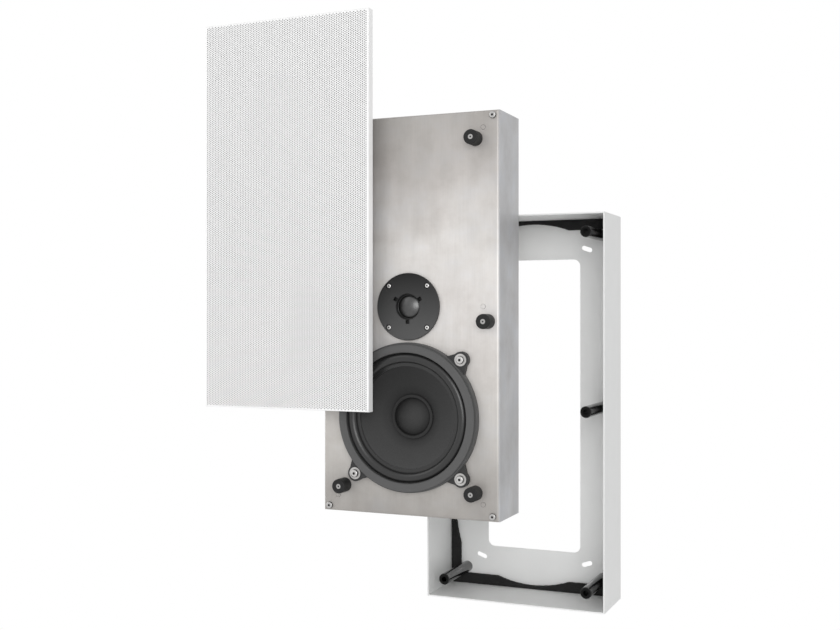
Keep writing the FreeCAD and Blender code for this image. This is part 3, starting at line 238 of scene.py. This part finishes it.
# Basket of the woofer, lighter on the flange than on the ears
FLANGE_EDGE = 82.6 * MM
FLANGE_BLEND = 0.1 * MM
BASKET_FLANGE = 0.075
BASKET_EARS = 0.018
BASKET_ROUGHNESS = 0.5
BASKET_GRAIN = 1600.0
BASKET_SPREAD = 0.08
BASKET_DEPTH = 0.03 * MM

# Cone with two fine grooves, and painted shade in the grooves, towards the top and in the throat
CONE_GREY = 0.056
CONE_ROUGHNESS = 0.62
CONE_SPECULAR = 0.2
CONE_FIBRE_SPREAD = 0.1
CONE_FIBRE_RISE = 0.15
# Painted shade across the cone, darker towards the upper left
CONE_PAINTED_SHADE_SPAN = 62.0 * MM
CONE_PAINTED_SHADE_LEAN = 0.5
CONE_PAINTED_SHADE_TOP = 0.38
# Painted shade in the throat next to the cap
CONE_THROAT = 21.0 * MM
CONE_THROAT_END = 36.0 * MM
CONE_THROAT_PAINTED_SHADE = [(0.0, 0.15), (0.5, 0.75), (1.0, 1.0)]
CONE_GROOVES = (57.6 * MM, 60.7 * MM)
GROOVE_WIDTH = 0.7 * MM
GROOVE_DEPTH = 0.2 * MM
# Painted shade in the two grooves
GROOVE_PAINTED_SHADE = 0.45

# Dust cap of woven cloth, with painted light in its middle and painted shade towards its edge and in the
# groove round it
CAP_GREY = 0.026
CAP_ROUGHNESS = 0.6
CAP_SPECULAR = 0.3
CAP_EDGE = 20.4 * MM
CAP_GROOVE = 0.9 * MM
CAP_WHOLE = CAP_EDGE + CAP_GROOVE
CAP_GROOVE_START = CAP_EDGE / CAP_WHOLE
# Painted light in the middle, painted shade towards the edge and in the groove
CAP_PAINTED_LIGHT_AND_SHADE = [
    (0.0, 1.5),
    (0.6, 1.15),
    (CAP_GROOVE_START - 0.05, 0.5),
    (CAP_GROOVE_START, 0.1),
    (0.995, 0.1),
    (1.0, 0.8),
]
CAP_THREAD = 0.9 * MM
CAP_THREAD_LOW = 0.6
CAP_THREAD_HIGH = 1.3
CAP_THREAD_DEPTH = 0.1 * MM

# Plate of the tweeter, with painted light towards the bottom, painted shade towards the top and painted
# shade in its sunk places
# Painted light towards the bottom, painted shade towards the top
PLATE_BOTTOM_PAINTED_LIGHT = 0.095
PLATE_TOP_PAINTED_SHADE = 0.010
PLATE_ROUGHNESS = 0.45
PLATE_SPECULAR = 0.2
PLATE_GRAIN = 1800.0
PLATE_SPREAD = 0.08
PLATE_DEPTH = 0.02 * MM
# Painted shade in the sunk places, below the plate's face
PLATE_RIM = 0.4 * MM
PLATE_PIT = 1.6 * MM
PLATE_PIT_PAINTED_SHADE = 0.3

# Dome of the tweeter
DOME_GREY = 0.10
DOME_ROUGHNESS = 0.36
DOME_GRAIN = 300.0
DOME_SPREAD = 0.05
DOME_DEPTH = 0.005 * MM
DOME_EDGE = 13.0 * MM
DOME_RIM_INSIDE = 0.4 * MM
DOME_RIM_OUTSIDE = 0.2 * MM
DOME_RIM_SHADE = 0.5

# Woven cloths and wound coils
WOVEN_CLOTHS = {
    "spider_cloth": {"color": (0.45, 0.33, 0.16), "thread": 0.8 * MM},
    "cloth_white": {"color": 0.34, "thread": 0.7 * MM},
}
CLOTH_ROUGHNESS = 0.85
CLOTH_THREAD_LOW = 0.8
CLOTH_THREAD_HIGH = 1.05
CLOTH_THREAD_DEPTH = 0.1 * MM
COPPER = (0.72, 0.38, 0.22)
COPPER_ROUGHNESS = 0.3
COPPER_METALLIC = 0.9
COPPER_WIRE = 0.5 * MM
COPPER_GAP_SHADE = 0.6
COPPER_DEPTH = 0.1 * MM

# Share and two colours that go into a mix, and the colour that comes out
MIX_INPUTS = (0, 6, 7)
MIX_RESULT = 2

# Planes in which a radius is measured
FRONT_PLANE = (1, 0, 1)
FLOOR_PLANE = (1, 1, 0)


# Node helpers


def add_node(tree, kind, **settings):
    node = tree.nodes.new(kind)
    for key, value in settings.items():
        setattr(node, key, value)
    return node


def put(tree, value, socket):
    if isinstance(value, bpy.types.NodeSocket):
        tree.links.new(value, socket)
    else:
        socket.default_value = value


def feed(tree, node, **inputs):
    for key, value in inputs.items():
        put(tree, value, node.inputs[key.replace("_", " ")])
    return node


def rgba(color):
    return (*color, 1) if hasattr(color, "__len__") else (color, color, color, 1)


def tinted(color, factor):
    return tuple(part * factor for part in color) if hasattr(color, "__len__") else color * factor


def calc(tree, operation, first, second=0.0):
    node = add_node(tree, "ShaderNodeMath", operation=operation)
    for socket, value in zip(node.inputs, (first, second)):
        put(tree, value, socket)
    return node.outputs[0]


def spot(tree, stretch=(1, 1, 1), origin=(0, 0, 0)):
    coordinates = add_node(tree, "ShaderNodeTexCoord")
    mapping = add_node(tree, "ShaderNodeMapping", vector_type="POINT")
    shift = [-place * factor for place, factor in zip(origin, stretch)]
    feed(tree, mapping, Vector=coordinates.outputs["Object"], Scale=stretch, Location=shift)
    return mapping.outputs["Vector"]


def split(tree, vector):
    return feed(tree, add_node(tree, "ShaderNodeSeparateXYZ"), Vector=vector).outputs


def facing(tree, axis):
    coordinates = add_node(tree, "ShaderNodeTexCoord")
    return calc(tree, "ABSOLUTE", split(tree, coordinates.outputs["Normal"])[axis])


def radius_from(tree, centre, plane=FRONT_PLANE):
    length = add_node(tree, "ShaderNodeVectorMath", operation="LENGTH")
    tree.links.new(spot(tree, plane, centre), length.inputs[0])
    return length.outputs["Value"]


def lift(tree, value, low, high):
    node = add_node(tree, "ShaderNodeMapRange")
    feed(tree, node, Value=value, From_Min=low, From_Max=high)
    return node.outputs["Result"]


def ramp(tree, value, stops):
    node = add_node(tree, "ShaderNodeValToRGB")
    elements = node.color_ramp.elements
    while len(elements) < len(stops):
        elements.new(0.5)
    for element, (place, color) in zip(elements, stops):
        element.position = place
        element.color = rgba(color)
    tree.links.new(value, node.inputs["Fac"])
    return node.outputs["Color"]


def fade(tree, value, first, second, band=(0.0, 1.0)):
    return ramp(tree, value, list(zip(band, (first, second))))


def blend_colors(tree, share, first, second, kind="MIX"):
    node = add_node(tree, "ShaderNodeMix", data_type="RGBA", blend_type=kind)
    for place, value in zip(MIX_INPUTS, (share, first, second)):
        put(tree, value, node.inputs[place])
    return node.outputs[MIX_RESULT]


def multiply(tree, first, second):
    return blend_colors(tree, 1.0, first, second, "MULTIPLY")


def grain(tree, scale, stretch=(1, 1, 1), detail=GRAIN_DETAIL, roughness=GRAIN_ROUGHNESS):
    node = add_node(tree, "ShaderNodeTexNoise")
    feed(tree, node, Vector=spot(tree, stretch), Scale=scale, Detail=detail, Roughness=roughness)
    return node.outputs["Fac"]


def mottle(tree, value, spread, color=1.0):
    return fade(tree, value, tinted(color, 1 - spread), tinted(color, 1 + spread), GRAIN_BAND)


def waves(tree, place, length):
    return calc(tree, "SINE", calc(tree, "MULTIPLY", place, math.tau / length))


def weave(tree, thread):
    place = split(tree, spot(tree))
    return calc(tree, "MULTIPLY", waves(tree, place["X"], thread), waves(tree, place["Z"], thread))


def raise_bump(tree, shader, height, depth, strength=1.0):
    bump = feed(tree, add_node(tree, "ShaderNodeBump"), Height=height, Distance=depth, Strength=strength)
    tree.links.new(bump.outputs["Normal"], shader.inputs["Normal"])


def new_material(name, roughness, metallic=0.0, specular=PLAIN_SPECULAR):
    material = bpy.data.materials.new(name)
    material.use_nodes = True
    tree = material.node_tree
    shader = tree.nodes["Principled BSDF"]
    feed(tree, shader, Roughness=roughness, Metallic=metallic, Specular_IOR_Level=specular)
    return material, tree, shader


# Camera, light and floor


def add_object(name, data):
    piece = bpy.data.objects.new(name, data)
    bpy.context.scene.collection.objects.link(piece)
    return piece


def make_camera():
    data = bpy.data.cameras.new("camera")
    data.lens = CAMERA_LENS_MM
    data.sensor_width = CAMERA_SENSOR_MM
    camera = add_object("camera", data)
    camera.location = CAMERA_PLACE
    camera.rotation_euler = (math.radians(CAMERA_LEVEL_DEG), 0, math.radians(CAMERA_TURN_DEG))
    bpy.context.scene.camera = camera


def sees_white(tree):
    path = add_node(tree, "ShaderNodeLightPath")
    seen = path.outputs["Is Camera Ray"]
    for ray in ("Is Glossy Ray", "Is Transmission Ray"):
        seen = calc(tree, "MAXIMUM", seen, path.outputs[ray])
    return seen


def glowing(tree, kind, strength):
    return feed(tree, add_node(tree, kind), Color=rgba(FULL_WHITE), Strength=strength)


def mix_shaders(tree, share, first, second):
    mix = add_node(tree, "ShaderNodeMixShader")
    for socket, value in zip(mix.inputs, (share, first.outputs[0], second.outputs[0])):
        tree.links.new(value, socket)
    return mix.outputs[0]


def make_world():
    world = bpy.data.worlds.new("studio")
    bpy.context.scene.world = world
    world.use_nodes = True
    tree = world.node_tree
    tree.nodes.clear()
    soft = glowing(tree, "ShaderNodeBackground", WORLD_SOFT)
    white = glowing(tree, "ShaderNodeBackground", FULL_WHITE)
    surface = mix_shaders(tree, sees_white(tree), soft, white)
    tree.links.new(surface, add_node(tree, "ShaderNodeOutputWorld").inputs["Surface"])


def make_lamps():
    for name, lamp in LAMPS.items():
        data = bpy.data.lights.new(name, "AREA")
        data.size = lamp["size"]
        data.energy = lamp["watts"]
        light = add_object(name, data)
        light.location = lamp["place"]
        light.rotation_euler = (OBJECT_CENTRE - light.location).to_track_quat("-Z", "Y").to_euler()


def make_floor():
    level = cad_low.z - FLOOR_DROP
    corners = [(x * FLOOR_HALF, y * FLOOR_HALF, level) for x, y in ((-1, -1), (1, -1), (1, 1), (-1, 1))]
    mesh = bpy.data.meshes.new("floor")
    mesh.from_pydata(corners, [], [(0, 1, 2, 3)])
    floor = add_object("floor", mesh)
    material, tree, shader = new_material("floor_white", FLOOR_ROUGHNESS)
    feed(tree, shader, Base_Color=rgba(FLOOR_WHITE))
    glow = glowing(tree, "ShaderNodeEmission", FULL_WHITE)
    away = lift(tree, radius_from(tree, OBJECT_CENTRE, FLOOR_PLANE), 0.0, FLOOR_GLOW_REACH)
    share = calc(tree, "MULTIPLY", sees_white(tree), fade(tree, away, FLOOR_GLOW_BELOW, 1.0))
    surface = mix_shaders(tree, share, shader, glow)
    tree.links.new(surface, tree.nodes["Material Output"].inputs["Surface"])
    mesh.materials.append(material)


# Materials


def speckled(name, color, roughness, metallic=0.0, specular=PLAIN_SPECULAR, scale=GRAIN_SCALE,
             depth=GRAIN_DEPTH, spread=GRAIN_SPREAD):
    material, tree, shader = new_material(name, roughness, metallic, specular)
    fine = grain(tree, scale)
    wide = grain(tree, scale / WIDE_GRAIN)
    fine_tone = fade(tree, fine, 0.0, 1.0, GRAIN_BAND)
    wide_tone = fade(tree, wide, 0.0, 1.0, GRAIN_BAND)
    tone = blend_colors(tree, EVEN_SHARE, fine_tone, wide_tone)
    feed(tree, shader, Base_Color=fade(tree, tone, tinted(color, 1 - spread), tinted(color, 1 + spread)))
    raise_bump(tree, shader, fine, depth)
    return material


def brushed_steel(name):
    material, tree, shader = new_material(name, STEEL_ROUGHNESS, STEEL_METALLIC)
    grains = {kind: grain(tree, **form) for kind, form in STEEL_GRAINS.items()}
    height = split(tree, spot(tree, origin=CABINET_CENTRE))["Z"]
    sway = calc(tree, "SUBTRACT", grains["clouds"], GRAIN_MIDDLE)
    drift = calc(tree, "MULTIPLY", sway, STEEL_CLOUD_DRIFT)
    level = lift(tree, calc(tree, "ADD", height, drift), -CABINET_HALF, CABINET_HALF)
    # Painted shade for the sides, darker towards their head
    side_painted_shade = fade(tree, grains["clouds"], STEEL_SIDE_PAINTED_SHADE_DARK, STEEL_SIDE_PAINTED_SHADE_LIGHT, GRAIN_BAND)
    side_painted_shade = multiply(tree, side_painted_shade, ramp(tree, level, STEEL_SIDE_PAINTED_SHADE_WASH))
    sideways = lift(tree, facing(tree, "X"), *STEEL_SIDE_TURN)
    # Painted reflection on the front, painted shade on the sides
    tone = blend_colors(tree, sideways, ramp(tree, level, STEEL_FRONT_PAINTED_REFLECTION), side_painted_shade)
    scratches = ramp(tree, grains["scratches"], STEEL_SCRATCH_TONES)
    stains = fade(tree, grains["stains"], STEEL_STAIN_DARK, STEEL_STAIN_LIGHT, GRAIN_BAND)
    marks = blend_colors(tree, EVEN_SHARE, scratches, stains)
    marks = multiply(tree, marks, ramp(tree, grains["wiped"], STEEL_WIPED_TINTS))
    feed(tree, shader, Base_Color=multiply(tree, tone, marks),
         Roughness=ramp(tree, grains["scratches"], STEEL_SCRATCH_ROUGHNESS))
    raise_bump(tree, shader, grains["scratches"], STEEL_SCRATCH_DEPTH, STEEL_SCRATCH_STRENGTH)
    return material


def cone_paper(name):
    material, tree, shader = new_material(name, CONE_ROUGHNESS, specular=CONE_SPECULAR)
    radius = radius_from(tree, WOOFER_CENTRE)
    place = split(tree, spot(tree, origin=WOOFER_CENTRE))
    fibre = grain(tree, GRAIN_SCALE)
    rise = calc(tree, "MULTIPLY", fibre, CONE_FIBRE_RISE)
    tone = mottle(tree, fibre, CONE_FIBRE_SPREAD, CONE_GREY)
    # Painted shade towards the upper left
    lean = calc(tree, "MULTIPLY", place["X"], CONE_PAINTED_SHADE_LEAN)
    painted_shade_wash = lift(tree, calc(tree, "SUBTRACT", place["Z"], lean), -CONE_PAINTED_SHADE_SPAN, CONE_PAINTED_SHADE_SPAN)
    tone = multiply(tree, tone, fade(tree, painted_shade_wash, 1.0, CONE_PAINTED_SHADE_TOP))
    # Painted shade in the throat
    throat = lift(tree, radius, CONE_THROAT, CONE_THROAT_END)
    tone = multiply(tree, tone, ramp(tree, throat, CONE_THROAT_PAINTED_SHADE))
    for groove in CONE_GROOVES:
        away = calc(tree, "ABSOLUTE", calc(tree, "SUBTRACT", radius, groove))
        flank = lift(tree, away, 0.0, GROOVE_WIDTH)
        rise = calc(tree, "ADD", rise, flank)
        # Painted shade in each groove
        tone = multiply(tree, tone, fade(tree, flank, GROOVE_PAINTED_SHADE, 1.0))
    feed(tree, shader, Base_Color=tone)
    raise_bump(tree, shader, rise, GROOVE_DEPTH)
    return material


def cap_cloth(name):
    material, tree, shader = new_material(name, CAP_ROUGHNESS, specular=CAP_SPECULAR)
    threads = lift(tree, weave(tree, CAP_THREAD), -1.0, 1.0)
    tone = fade(tree, threads, tinted(CAP_GREY, CAP_THREAD_LOW), tinted(CAP_GREY, CAP_THREAD_HIGH))
    share = calc(tree, "DIVIDE", radius_from(tree, WOOFER_CENTRE), CAP_WHOLE)
    # Painted light and shade across the cap
    feed(tree, shader, Base_Color=multiply(tree, tone, ramp(tree, share, CAP_PAINTED_LIGHT_AND_SHADE)))
    raise_bump(tree, shader, threads, CAP_THREAD_DEPTH)
    return material


def basket_black(name):
    material, tree, shader = new_material(name, BASKET_ROUGHNESS)
    radius = radius_from(tree, WOOFER_CENTRE)
    beyond = lift(tree, radius, FLANGE_EDGE - FLANGE_BLEND, FLANGE_EDGE + FLANGE_BLEND)
    fine = grain(tree, BASKET_GRAIN)
    tone = fade(tree, beyond, BASKET_FLANGE, BASKET_EARS)
    feed(tree, shader, Base_Color=multiply(tree, tone, mottle(tree, fine, BASKET_SPREAD)))
    raise_bump(tree, shader, fine, BASKET_DEPTH)
    return material


def tweeter_charcoal(name):
    material, tree, shader = new_material(name, PLATE_ROUGHNESS, specular=PLATE_SPECULAR)
    place = split(tree, spot(tree, origin=TWEETER_CENTRE))
    fine = grain(tree, PLATE_GRAIN)
    # Painted light towards the bottom, painted shade towards the top
    painted_shade_wash = fade(tree, lift(tree, place["Z"], -TWEETER_RADIUS, TWEETER_RADIUS), PLATE_BOTTOM_PAINTED_LIGHT, PLATE_TOP_PAINTED_SHADE)
    # Painted shade in the sunk places
    face = TWEETER_LOW.y - TWEETER_CENTRE.y + PLATE_RIM
    painted_pit_shade = fade(tree, lift(tree, place["Y"], face, face + PLATE_PIT), 1.0, PLATE_PIT_PAINTED_SHADE)
    tone = multiply(tree, multiply(tree, painted_shade_wash, mottle(tree, fine, PLATE_SPREAD)), painted_pit_shade)
    feed(tree, shader, Base_Color=tone)
    raise_bump(tree, shader, fine, PLATE_DEPTH)
    return material


def dome_film(name):
    material, tree, shader = new_material(name, DOME_ROUGHNESS, 1.0)
    radius = radius_from(tree, TWEETER_CENTRE)
    rim = lift(tree, radius, DOME_EDGE - DOME_RIM_INSIDE, DOME_EDGE + DOME_RIM_OUTSIDE)
    cloud = grain(tree, DOME_GRAIN)
    tone = mottle(tree, cloud, DOME_SPREAD, DOME_GREY)
    feed(tree, shader, Base_Color=blend_colors(tree, rim, tone, rgba(tinted(DOME_GREY, DOME_RIM_SHADE))))
    raise_bump(tree, shader, cloud, DOME_DEPTH)
    return material


def post_black(name):
    material, tree, shader = new_material(name, POST_ROUGHNESS, specular=POST_SPECULAR)
    end = lift(tree, facing(tree, "Y"), *POST_TURN)
    fine = grain(tree, POST_GRAIN)
    tone = multiply(tree, fade(tree, end, POST_SHAFT, POST_END), mottle(tree, fine, POST_SPREAD))
    feed(tree, shader, Base_Color=tone, Metallic=fade(tree, end, 1.0, 0.0))
    raise_bump(tree, shader, fine, POST_DEPTH)
    return material


def socketed(name, color, face):
    material, tree, shader = new_material(name, HEAD_ROUGHNESS, 1.0)
    # Painted shade darkens what lies deeper than the head's face
    depth = lift(tree, split(tree, spot(tree))["Y"], face + SOCKET_RIM, face + SOCKET_PIT)
    fine = grain(tree, HEAD_GRAIN)
    metal = mottle(tree, fine, HEAD_SPREAD, color)
    feed(tree, shader, Base_Color=multiply(tree, metal, fade(tree, depth, 1.0, SOCKET_PAINTED_SHADE)))
    raise_bump(tree, shader, fine, HEAD_DEPTH)
    return material


def woven(name, color, thread):
    material, tree, shader = new_material(name, CLOTH_ROUGHNESS)
    threads = weave(tree, thread)
    tone = fade(tree, lift(tree, threads, -1.0, 1.0), tinted(color, CLOTH_THREAD_LOW),
                tinted(color, CLOTH_THREAD_HIGH))
    feed(tree, shader, Base_Color=tone)
    raise_bump(tree, shader, threads, CLOTH_THREAD_DEPTH)
    return material


def wound_copper(name):
    material, tree, shader = new_material(name, COPPER_ROUGHNESS, COPPER_METALLIC)
    turns = waves(tree, split(tree, spot(tree))["Y"], COPPER_WIRE)
    tone = fade(tree, lift(tree, turns, -1.0, 1.0), tinted(COPPER, COPPER_GAP_SHADE), COPPER)
    feed(tree, shader, Base_Color=tone)
    raise_bump(tree, shader, turns, COPPER_DEPTH)
    return material


def make_materials():
    materials = {slot: speckled(slot, **finish) for slot, finish in PLAIN_FINISHES.items()}
    for slot, cloth in WOVEN_CLOTHS.items():
        materials[slot] = woven(slot, **cloth)
    materials["stainless"] = brushed_steel("brushed_steel")
    materials["post_black"] = post_black("post_black")
    materials["basket_black"] = basket_black("basket_black")
    materials["cone_grey"] = cone_paper("cone_grey")
    materials["cap_cloth"] = cap_cloth("cap_cloth")
    materials["plate_charcoal"] = tweeter_charcoal("plate_charcoal")
    materials["dome_metal"] = dome_film("dome_metal")
    materials["copper"] = wound_copper("copper")
    return materials


def dress_nodes(materials):
    for part in frame["record"]["subparts"]:
        mesh = nodes[part["node"]].data
        mesh.materials.clear()
        mesh.materials.append(materials[part["material_slot"]])
    for name, shine in SOCKET_SCREWS.items():
        head = socketed(name + "_steel", tinted(HEAD_STEEL, shine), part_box(name)[0].y)
        nodes[name].data.materials[0] = head


def dress_piece(piece, materials, slot, body, *stands_for):
    piece.data.materials.clear()
    piece.data.materials.append(materials[slot])
    if body:
        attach(piece, body)
    if stands_for:
        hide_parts(*stands_for)


# Grille


def hole_columns():
    edge = GRILLE_BEND + HOLE_EDGE + HOLE_RADIUS
    across = int((GRILLE_HIGH.x - GRILLE_LOW.x - 2 * edge) / COLUMN_STEP)
    rows = int((GRILLE_HIGH.z - GRILLE_LOW.z - 2 * edge) / HOLE_PITCH - 0.5) + 1
    start_x = (GRILLE_LOW.x + GRILLE_HIGH.x - across * COLUMN_STEP) / 2
    start_z = (GRILLE_LOW.z + GRILLE_HIGH.z - (rows - 0.5) * HOLE_PITCH) / 2
    columns = []
    for k in range(across + 1):
        odd = k % 2
        columns.append((start_x + k * COLUMN_STEP, start_z + odd * HOLE_PITCH / 2, odd))
    return columns, rows


def ring_round(centres, radius, sides):
    turn = np.arange(sides) * math.tau / sides
    ring = radius * np.stack([np.cos(turn), np.sin(turn)], axis=1)
    return centres[:, None, :] + ring[None, :, :]


def end_at_fold(corners, first_x, last_x):
    beside = HOLE_RADIUS / 2
    corners[corners[:, 0] < first_x - beside, 0] = GRILLE_LOW.x + GRILLE_BEND
    corners[corners[:, 0] > last_x + beside, 0] = GRILLE_HIGH.x - GRILLE_BEND
    corners[:, 1] = np.clip(corners[:, 1], GRILLE_LOW.z + GRILLE_BEND, GRILLE_HIGH.z - GRILLE_BEND)


def following(corners):
    return np.roll(corners, -1, axis=1)


def loops(*corners):
    return np.stack(corners, axis=2).reshape(-1, len(corners)).tolist()


def perforated_panel(name, columns, rows, ends):
    holes = np.array([(x, z + j * HOLE_PITCH) for x, z, _ in columns for j in range(rows)])
    blanks = np.array([(x, z + (-1 if odd else rows) * HOLE_PITCH) for x, z, odd in columns])
    cells = ring_round(np.concatenate([holes, blanks]), CELL_RADIUS, CELL_SIDES).reshape(-1, 2)
    keys = np.round(cells / CELL_WELD).astype(int)
    _, first, corner = np.unique(keys, axis=0, return_index=True, return_inverse=True)
    corner = corner.reshape(-1, CELL_SIDES)
    outer = cells[first]
    end_at_fold(outer, *ends)
    inner = ring_round(holes, HOLE_RADIUS, HOLE_SIDES).reshape(-1, 2)
    front = GRILLE_LOW.y
    levels = ((outer, front), (inner, front), (inner, front + GRILLE_SHEET))
    points = np.concatenate([np.insert(flat, 1, y, axis=1) for flat, y in levels])
    rim_front = len(outer) + np.arange(len(inner)).reshape(-1, HOLE_SIDES)
    rim_back = rim_front + len(inner)
    edge = corner[:len(holes)]
    spoke = rim_front[:, 0::2]
    middle = rim_front[:, 1::2]
    faces = loops(edge, following(edge), following(spoke), middle)
    faces += loops(edge, middle, spoke)
    faces += loops(rim_front, following(rim_front), following(rim_back), rim_back)
    faces += corner[len(holes):].tolist()
    mesh = bpy.data.meshes.new(name)
    mesh.from_pydata(points.tolist(), [], faces)
    return add_object(name, mesh)


def grille_rim():
    mesh = nodes["grille_sheet"].data.copy()
    form = bmesh.new()
    form.from_mesh(mesh)
    for level in (GRILLE_LOW.y, GRILLE_LOW.y + GRILLE_SHEET):
        flat = [face for face in form.faces if all(abs(v.co.y - level) < FLAT_NEAR for v in face.verts)]
        bmesh.ops.delete(form, geom=flat, context="FACES")
    form.to_mesh(mesh)
    form.free()
    return add_object("grille_rim", mesh)


def make_grille(materials):
    columns, rows = hole_columns()
    ends = (columns[0][0], columns[-1][0])
    share = math.ceil(len(columns) / GRILLE_PANELS)
    pieces = []
    for k in range(GRILLE_PANELS):
        name = "grille_front_%d" % (k + 1)
        pieces.append(perforated_panel(name, columns[k * share:(k + 1) * share], rows, ends))
    pieces.append(grille_rim())
    for piece in pieces:
        dress_piece(piece, materials, "grille_white", "grille", "grille_sheet")


def make_cloth(materials):
    y = (CLOTH_LOW.y + CLOTH_HIGH.y) / 2
    xs = np.linspace(CLOTH_LOW.x, CLOTH_HIGH.x, CLOTH_STEPS_X + 1)
    zs = np.linspace(CLOTH_LOW.z, CLOTH_HIGH.z, CLOTH_STEPS_Z + 1)
    points = [(x, y, z) for z in zs for x in xs]
    row = len(xs)
    starts = [j * row + i for j in range(CLOTH_STEPS_Z) for i in range(CLOTH_STEPS_X)]
    mesh = bpy.data.meshes.new("speaker_cloth")
    mesh.from_pydata(points, [], [(k, k + 1, k + row + 1, k + row) for k in starts])
    cloth = add_object("speaker_cloth", mesh)
    dress_piece(cloth, materials, "cloth_white", "grille", "grille_cloth")


# Soft rings of the woofer between the basket and the cone, copied from their parts, each with its own
# finish


def make_bending_ring(name, materials, node, slot, finish, outer, inner):
    ring = add_object(name, nodes[node].data.copy())
    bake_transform(ring)
    dress_piece(ring, materials, slot, None, node)
    ring.data.materials[0] = materials[finish]


# Foam lining with an open-cell surface


def make_foam(materials):
    block = add_object("foam_block", nodes["foam_lining"].data.copy())
    remesh = block.modifiers.new("cells", "REMESH")
    remesh.mode = "VOXEL"
    remesh.voxel_size = FOAM_VOXEL
    mesh = bpy.data.meshes.new_from_object(block.evaluated_get(bpy.context.evaluated_depsgraph_get()))
    bpy.data.objects.remove(block)
    normals = [vertex.normal.copy() for vertex in mesh.vertices]
    for vertex, normal in zip(mesh.vertices, normals):
        dent = 0.5 + 0.5 * noise.noise(vertex.co / FOAM_CELL)
        vertex.co -= normal * FOAM_ROUGHNESS * dent
    foam = add_object("foam_strip", mesh)
    dress_piece(foam, materials, "foam_black", "wall_frame", "foam_lining")


def main():
    bpy.context.scene.view_settings.view_transform = "Standard"
    make_camera()
    make_world()
    make_lamps()
    make_floor()
    materials = make_materials()
    dress_nodes(materials)
    make_grille(materials)
    make_cloth(materials)
    for name, ring in BENDING_RINGS.items():
        make_bending_ring(name, materials, **ring)
    make_foam(materials)


main()
